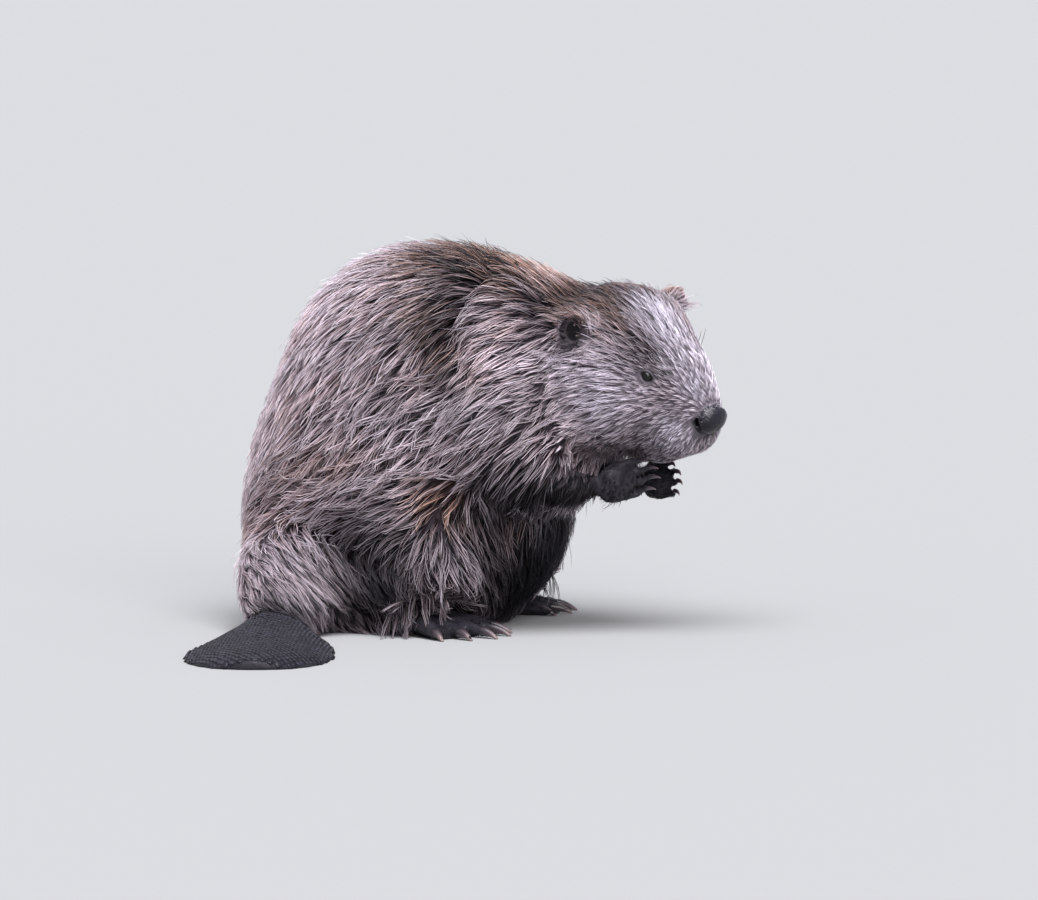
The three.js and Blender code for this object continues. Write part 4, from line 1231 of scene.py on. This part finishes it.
def grown_hairs(hairs, rings, width_times=1.0, height_times=1.0, length_range=(0.8, 1.12), spread=0.62):
    """Lines and tops of hairs that start round the roots of their locks and run together.

    Some are long guard hairs that lie over the others and show for their whole length."""
    guard = rng.random(len(hairs)) < GUARD_SHARE * (height_times == 1)
    place = np.sqrt(rng.random(len(hairs)))
    turn = rng.random(len(hairs)) * 2 * np.pi
    outs = trail_outs[0][hairs]
    ahead = unit(trail[1] - trail[0])[hairs]
    beside = np.cross(outs, ahead)
    offset = ahead * np.cos(turn)[:, None] + beside * np.sin(turn)[:, None]
    offset = offset * (spacing[hairs] * spread * place)[:, None]
    own_length = rng.uniform(*length_range, len(hairs))
    gather = rng.uniform(*GATHER, len(hairs)) * (1 - 0.3 * on_head[hairs])
    gather = gather * (1 - 0.6 * wavy[hairs]) + WAVY_GATHER * wavy[hairs]
    own_length = own_length * np.where(guard, GUARD_LENGTH, WOOL_LENGTH) * straight[hairs]
    low = height_times * lock_height[hairs] * (1 - 0.3 * sleek[hairs]) * (1 - 0.3 * place**2)
    low = low * rng.uniform(*WOOL_HEIGHT, len(hairs))
    layer = np.where(guard, rng.uniform(*GUARD_HEIGHT, len(hairs)), low)
    wave = lock_wave[hairs] + rng.normal(0, 0.35, len(hairs))
    lines = np.empty((len(hairs), rings + 1, 3))
    tops = np.empty((len(hairs), rings + 1, 3))
    for k in range(rings + 1):
        t = k / rings
        along = np.clip(t * own_length * STEPS, 0, STEPS - 1e-6)
        step = along.astype(int)
        part = (along - step)[:, None]
        base = trail[step, hairs] * (1 - part) + trail[step + 1, hairs] * part
        over = unit(trail_outs[step, hairs] * (1 - part) + trail_outs[step + 1, hairs] * part)
        room = trail_deep[step, hairs] * (1 - part[:, 0]) + trail_deep[step + 1, hairs] * part[:, 0]
        height = room * layer * (1 - (1 - t) ** 2.2) - ROOT_DEPTH * (t == 0)
        swing = lock_curl[hairs] * np.sin(wave + t * WAVES) * t
        lines[:, k] = (base + offset * (1 - gather * t**1.2)[:, None] + over * height[:, None]
                       + beside * swing[:, None])
        tops[:, k] = over
    lines[:, :, 2] = np.maximum(lines[:, :, 2], OFF_FLOOR)
    widths = width[hairs] * width_times * rng.uniform(0.75, 1.2, len(hairs))
    widths *= np.where(guard, 0.85 + 0.2 * on_head[hairs], 1.05)
    points = strands(lines, tops, widths)
    shade = np.exp(rng.normal(0, 0.28, len(hairs)) * (1 - 0.5 * sleek[hairs]))
    # On the head the lower hairs are darker still, as painted shade in the gaps between the locks, less where
    # the coat is pale.
    below = WOOL_TONE - 0.24 * on_head[hairs] * (1 - lock_marks_and_light[hairs, 1])
    tone = lock_tone[hairs] * np.clip(shade * np.where(guard, GUARD_TONE, below), 0.3, 1.14)
    uv = unwrap_places(trail[0][hairs] + offset)
    clear = clear_of_eyes(points)
    marks_and_light = lock_marks_and_light[hairs]
    marks_and_light[:, 0] = np.clip(marks_and_light[:, 0] + rng.uniform(-0.15, 0.45, len(hairs)), 0, 1)
    marks_and_light[:, 0] *= 1 - 0.8 * marks_and_light[:, 2] * (1 - streaked[hairs])
    rusty = guard & (turn < 0.9 * np.pi)
    marks_and_light[:, 2] *= 1 - np.where(rusty, 0.85, 0.15) * guard * streaked[hairs]
    paling = np.where(guard, GUARD_PALING, WOOL_PALING)
    return points[clear], uv[clear], tone[clear], marks_and_light[clear], paling[clear]


def repeated(locks, counts):
    return np.repeat(locks, np.maximum(1, np.round(counts)).astype(int))


long_haired = np.nonzero(on(faces, "body") > 0.5)[0]
short_haired = np.nonzero(on(faces, "body") <= 0.5)[0]
each = count * rng.uniform(0.8, 1.2, len(roots))
coat_pieces("coat_body", *grown_hairs(repeated(long_haired, each[long_haired]), 4), hair_finish)
coat_pieces("coat_fine", *grown_hairs(repeated(short_haired, each[short_haired]), 3), hair_finish)
# The wisps of underfur: wider, lower and darker, one to a lock; they are darker partly as painted shade under
# the hairs above them.
points, uv, tone, marks_and_light, paling = grown_hairs(long_haired[~free[long_haired]], 3, 2.6, 0.45, (0.7, 0.95), 0.3)
coat_pieces("coat_under", points, uv, tone * 0.5, marks_and_light, paling, hair_finish)

# ---------------------------------------------------------------- loose hairs
# What stands out of the coat: stray guard hairs on the back, nape and crown, the hanging fringe of
# the elbow with its worn pale tips, and the stiff dark whiskers of the lips and brows.


def loose_hairs(spots, outs, ways, lengths, widths, lift, droop, rings=3):
    """Hairs that leave the hide at a lift in degrees and bend back towards it."""
    rise_by, run_by = np.sin(np.radians(lift)), np.cos(np.radians(lift))
    lines = np.empty((len(spots), rings + 1, 3))
    for k in range(rings + 1):
        t = k / rings
        far = (lengths * t)[:, None]
        lines[:, k] = spots + ways * run_by[:, None] * far + outs * (rise_by - droop * t)[:, None] * far
    lines[:, :, 2] = np.maximum(lines[:, :, 2], OFF_FLOOR)
    tops = np.repeat(outs[:, None], rings + 1, 1)
    return strands(lines, tops, widths, 1.0)


def strayed(ways, outs, spread):
    """The ways turned over the hide by chance, by about this many degrees."""
    turn = rng.normal(0, math.radians(spread), len(ways))[:, None]
    return unit(ways * np.cos(turn) + np.cross(outs, ways) * np.sin(turn))


STRAY_SHARE = 0.30  # of the locks that have a stray hair
STRAYS_ABOVE = 3  # times as many where the hide faces up
upward = np.clip(trail_outs[0][:, 2], 0, 1)
furred = on(faces, "body", "face", "tail_root") > 0.6
far_back = (in_head(roots)[:, 0] < -70 * MM) & (roots[:, 2] > 70 * MM)
crossing = np.nonzero(furred & far_back & (rng.random(len(roots)) < STRAY_SHARE))[0]
standing = rng.random(len(roots)) < STRAY_SHARE * STRAYS_ABOVE * upward
standing = np.nonzero(furred & far_back & standing)[0]
STRAYS = {  # which locks have one, how far it strays aside, its lift in degrees, and its length
    "coat_crossing": (crossing, 24, (14, 26), (0.9, 1.25)),
    "coat_standing": (standing, 14, (26, 44), (0.75, 1.1)),
}
for name, (chosen, spread, lift, grown) in STRAYS.items():
    outs = trail_outs[0][chosen]
    ways = strayed(lie(roots[chosen], outs), outs, spread)
    lengths = length[chosen] * rng.uniform(*grown, len(chosen))
    lifts = rng.uniform(*lift, len(chosen))
    widths = rng.uniform(0.38, 0.6, len(chosen)) * MM
    droop = 0.5 * np.sin(np.radians(lifts))
    points = loose_hairs(roots[chosen], outs, ways, lengths, widths, lifts, droop, 4)
    marks_and_light = lock_marks_and_light[chosen]
    marks_and_light[:, 1] = np.clip(marks_and_light[:, 1] + 0.5, 0, 1)
    coat_pieces(name, points, unwrap_places(roots[chosen]), rng.uniform(0.7, 1.1, len(chosen)), marks_and_light,
                np.full(len(chosen), 0.7), hair_finish)

# Fringes: the elbow's hangs from the edge of the upper arm, and a beard from the edge of the jaw. Each
# has a line in the view, how many hairs, their length and width, their marks, and how high they pale.
FRINGES = {
    "coat_fringe": ([(44, 104), (60, 97), (76, 95), (92, 100)],
                    150, 24, (0.5, 0.8), (0.0, 0.55, 0.0), 1.6),
    "coat_beard": ([(110, 149), (122, 145), (136, 143), (150, 143)],
                   460, 21, (0.3, 0.5), (0.2, 0.2, 0.45), 1.2),
}
HANGING = np.array([-0.15, 0, -1.0])
FRINGE_SCATTER = 2.5  # of the roots, aside from the line
for name, (line, hairs, fringe_length, thick, colours, tips_only) in FRINGES.items():
    fringe_spots, fringe_outs = [], []
    for k in range(hairs):
        at = k / hairs * (len(line) - 1)
        before, after = np.array(line[int(at)]), np.array(line[int(at) + 1])
        spot, out = seen(*(before + (after - before) * (at % 1) + rng.normal(0, FRINGE_SCATTER, 2)))
        twin, twin_out = mirrored(spot, out, "head" if name == "coat_beard" else "body")
        fringe_spots += [spot, nearest_on(hide_tree, [twin])[0][0]]
        fringe_outs += [out, twin_out]
    fringe_spots, fringe_outs = np.array(fringe_spots), np.array(fringe_outs)
    hanging = unit(HANGING + rng.normal(0, 0.2, fringe_outs.shape))
    hanging = unit(hanging - (hanging * fringe_outs).sum(1, keepdims=True) * fringe_outs * 0.8)
    lengths = fringe_length * MM * rng.uniform(0.6, 1.1, len(hanging))
    points = loose_hairs(fringe_spots, fringe_outs, hanging, lengths, rng.uniform(*thick, len(hanging)) * MM,
                         rng.uniform(6, 24, len(hanging)), 0.3)
    coat_pieces(name, points, unwrap_places(fringe_spots), rng.uniform(0.55, 1.05, len(hanging)),
                np.tile(colours, (len(hanging), 1)), np.full(len(hanging), tips_only), hair_finish)

# Whiskers: rows on the upper lip, and a few over each eye. Places are in the head's frame.
LIP_ROWS = [((-27, 17, -21), (-0.8, 0.9, -0.15)), ((-30, 18, -27), (-0.85, 0.9, -0.35)),
            ((-34, 17, -33), (-0.9, 0.8, -0.6))]  # where a row starts, and the way of its whiskers
ROW_STEP = np.array([-5.0, 0.6, 0.5])
IN_ROW = 5
WHISKER = (26, 48, 0.45)  # the shortest and longest, and the width
grown_at, grown_to = [], []
for side in (1, -1):
    for place, way in LIP_ROWS:
        for k in range(IN_ROW):
            grown_at.append((np.array(place) + ROW_STEP * k) * (1, side, 1))
            grown_to.append(np.array(way) * (1, side, 1) + [-0.12 * k, 0, 0])
    for k in range(2):
        grown_at.append(np.array([-60 - 4 * k, side * (24 + k), 22 + k]))
        grown_to.append(np.array([-0.5, side * 0.8, 0.7]))
whisker_spots, whisker_faces = nearest_on(hide_tree, from_head(np.array(grown_at) * MM))
whisker_outs = face_outs[whisker_faces]
whisker_ways = unit(unit(np.array(grown_to, float)) @ HEAD_TURN.T + rng.normal(0, 0.08, whisker_outs.shape))
on_brow = np.array(grown_at)[:, 2] > 0
lengths = rng.uniform(*WHISKER[:2], len(whisker_spots)) * MM * np.where(on_brow, 0.4, 1)
widths, lifts = np.full(len(lengths), WHISKER[2] * MM), np.full(len(lengths), 8.0)
points = loose_hairs(whisker_spots, whisker_outs, whisker_ways, lengths, widths, lifts, 0.12, 6)
coat_pieces("whiskers", points, unwrap_places(whisker_spots), np.full(len(lengths), 0.9),
            np.tile([0.0, 0.0, 0.9], (len(lengths), 1)), np.ones(len(lengths)), hair_finish)

# ---------------------------------------------------------------- tail scales
# The dark horny plates of the flat tail, in staggered rows across it, each a low dome that laps over
# the next one back. One plate is shaped and then repeated over the top of the paddle to its rim.

PADDLE_AT = LAYOUT_AT + np.array([-160, -138, 0]) * MM
PADDLE_TURN = turned(-93)
PADDLE_LENGTH, PADDLE_WIDTH = 255, 122
PLATE_PITCH = (4.7, 6.2)  # along the tail and across it
ROWS = int(PADDLE_LENGTH / PLATE_PITCH[0])
COLUMNS = math.ceil(PADDLE_WIDTH / 2 / PLATE_PITCH[1]) + 1  # on each side of the middle
PLATE_SIZE = (6.6, 6.5)
PLATE_STRAY = 0.25
PLATE_TILT = 0.13  # rise of a plate's back edge, over its length
PLATE_RINGS = ((0.25, 1.0), (0.62, 0.8), (0.78, 0.45))  # the dome's height and width, from its edge up
ABOVE_PADDLE = 60  # where the look down for a plate's place starts
plate = bmesh.new()
edge = bmesh.ops.create_circle(plate, cap_ends=True, segments=8, radius=0.5)["verts"]
bmesh.ops.translate(plate, verts=edge, vec=(0, 0, -0.9))
top = plate.faces[:][0]
for height, narrower in PLATE_RINGS:
    top = bmesh.ops.extrude_discrete_faces(plate, faces=[top])["faces"][0]
    for v in top.verts:
        v.co = Vector((*(v.co.xy.normalized() * 0.5 * narrower), height))
bmesh.ops.recalc_face_normals(plate, faces=plate.faces)
plate.verts.index_update()
plate_points = np.array([tuple(v.co) for v in plate.verts]) * (PLATE_SIZE[0], PLATE_SIZE[1], 1)
plate_faces = [[v.index for v in f.verts] for f in plate.faces]
plate.free()
plate_points[:, 2] -= plate_points[:, 0] * PLATE_TILT

spots, faces_of_plates, tones = [], [], []
for row in range(1, ROWS):
    for column in range(-COLUMNS, COLUMNS + 1):
        x = row * PLATE_PITCH[0] + rng.normal(0, PLATE_STRAY)
        y = (column + 0.5 * (row % 2)) * PLATE_PITCH[1] + rng.normal(0, PLATE_STRAY)
        start = PADDLE_TURN @ (np.array([x, y, ABOVE_PADDLE]) * MM) + PADDLE_AT
        spot, out, face, _ = hide_tree.ray_cast(Vector(start), Vector((0, 0, -1)), (ABOVE_PADDLE + 10) * MM)
        size = rng.uniform(0.92, 1.06)
        if spot is None or out.z < 0.25 or face_masks[face][REGIONS.index("paddle")] < 0.55:
            continue
        out = face_outs[face]
        along = unit(PADDLE_TURN[:, 0] - out * (PADDLE_TURN[:, 0] @ out))
        across = np.cross(out, along)
        placed = plate_points * (size, size, 1) @ np.stack([-along, -across, out]) * MM
        placed = placed + np.array(spot)
        placed[:, 2] = np.maximum(placed[:, 2], 0)
        faces_of_plates += [[len(spots) + i for i in f] for f in plate_faces]
        spots += placed.tolist()
        tones += [rng.random()] * len(placed)
mesh = bpy.data.meshes.new("tail_scales")
mesh.from_pydata(spots, [], faces_of_plates)
for polygon in mesh.polygons:
    polygon.use_smooth = True
hold(mesh, "plate", tones)
tail_scales = linked("tail_scales", mesh)

horny, tree, shader = paint("tail plates", Specular_IOR_Level=0.25)
own_tone, _, _ = channels(tree, "plate")
worn = ramp(tree, noise(tree, 35, 4), [(0.35, 0.45), (0.65, 1.0)])
grit = noise(tree, 900, 3)
colour = ramp(tree, own_tone, [(0.0, (0.007, 0.006, 0.011)), (1.0, (0.020, 0.019, 0.030))])
colour = mixed(tree, 0.6, colour, worn, "MULTIPLY")
bump = add(tree, "Bump", Height=grit, Distance=0.2 * MM, Strength=0.5)
gloss = ramp(tree, grit, [(0.3, 0.24), (0.7, 0.46)])
wire(tree, shader, Base_Color=colour, Roughness=gloss, Normal=bump.outputs[0])
mesh.materials.append(horny)
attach(tail_scales, "root")

# ---------------------------------------------------------------- floor, light and camera
# A plain pale floor without an edge in view, broad soft light from above and a little from behind
# the tail, and a long lens at the animal's right side, just above its own height.

CAMERA_HEIGHT = 5  # degrees above the horizon
CAMERA_FAR = 9.0
FRAME_WIDTH = 0.865  # of the view, at the animal
MIDDLE = Vector((0.0496, LAYOUT_AT[1], 0.1422))  # of the view
SENSOR = 36

camera = linked("camera", bpy.data.cameras.new("camera"))
bpy.context.scene.camera = camera
tilt = math.radians(CAMERA_HEIGHT)
camera.location = MIDDLE + CAMERA_FAR * Vector((0, -math.cos(tilt), math.sin(tilt)))
camera.rotation_euler = (math.pi / 2 - tilt, 0, 0)
camera.data.sensor_width = SENSOR
camera.data.lens = SENSOR * CAMERA_FAR / FRAME_WIDTH
camera.data.clip_end = 100

ground = bmesh.new()
bmesh.ops.create_circle(ground, cap_ends=True, segments=64, radius=60)
floor = shown("floor", ground)
pale, _, _ = paint("floor paint", Base_Color=(0.33, 0.33, 0.335, 1), Roughness=0.9)
floor.data.materials.append(pale)


def sun(name, way, strength, spread, colour):
    """A lamp that shines along a direction, softened over an angle in degrees."""
    lamp = linked(name, bpy.data.lights.new(name, "SUN"))
    lamp.data.energy = strength
    lamp.data.angle = math.radians(spread)
    lamp.data.color = colour
    lamp.rotation_euler = Vector(way).to_track_quat("-Z", "Y").to_euler()


bpy.context.scene.view_settings.view_transform = "Standard"
sun("sky light", (-0.05, 0.35, -1.0), 4.7, 50, (0.96, 0.97, 1.0))
sun("side light", (-0.3, 1.0, -0.45), 1.9, 40, (1.0, 0.98, 0.96))
world = bpy.data.worlds.new("studio")
bpy.context.scene.world = world
world.use_nodes = True
wire(world.node_tree, world.node_tree.nodes["Background"], Color=(0.92, 0.94, 1.0, 1), Strength=0.55)
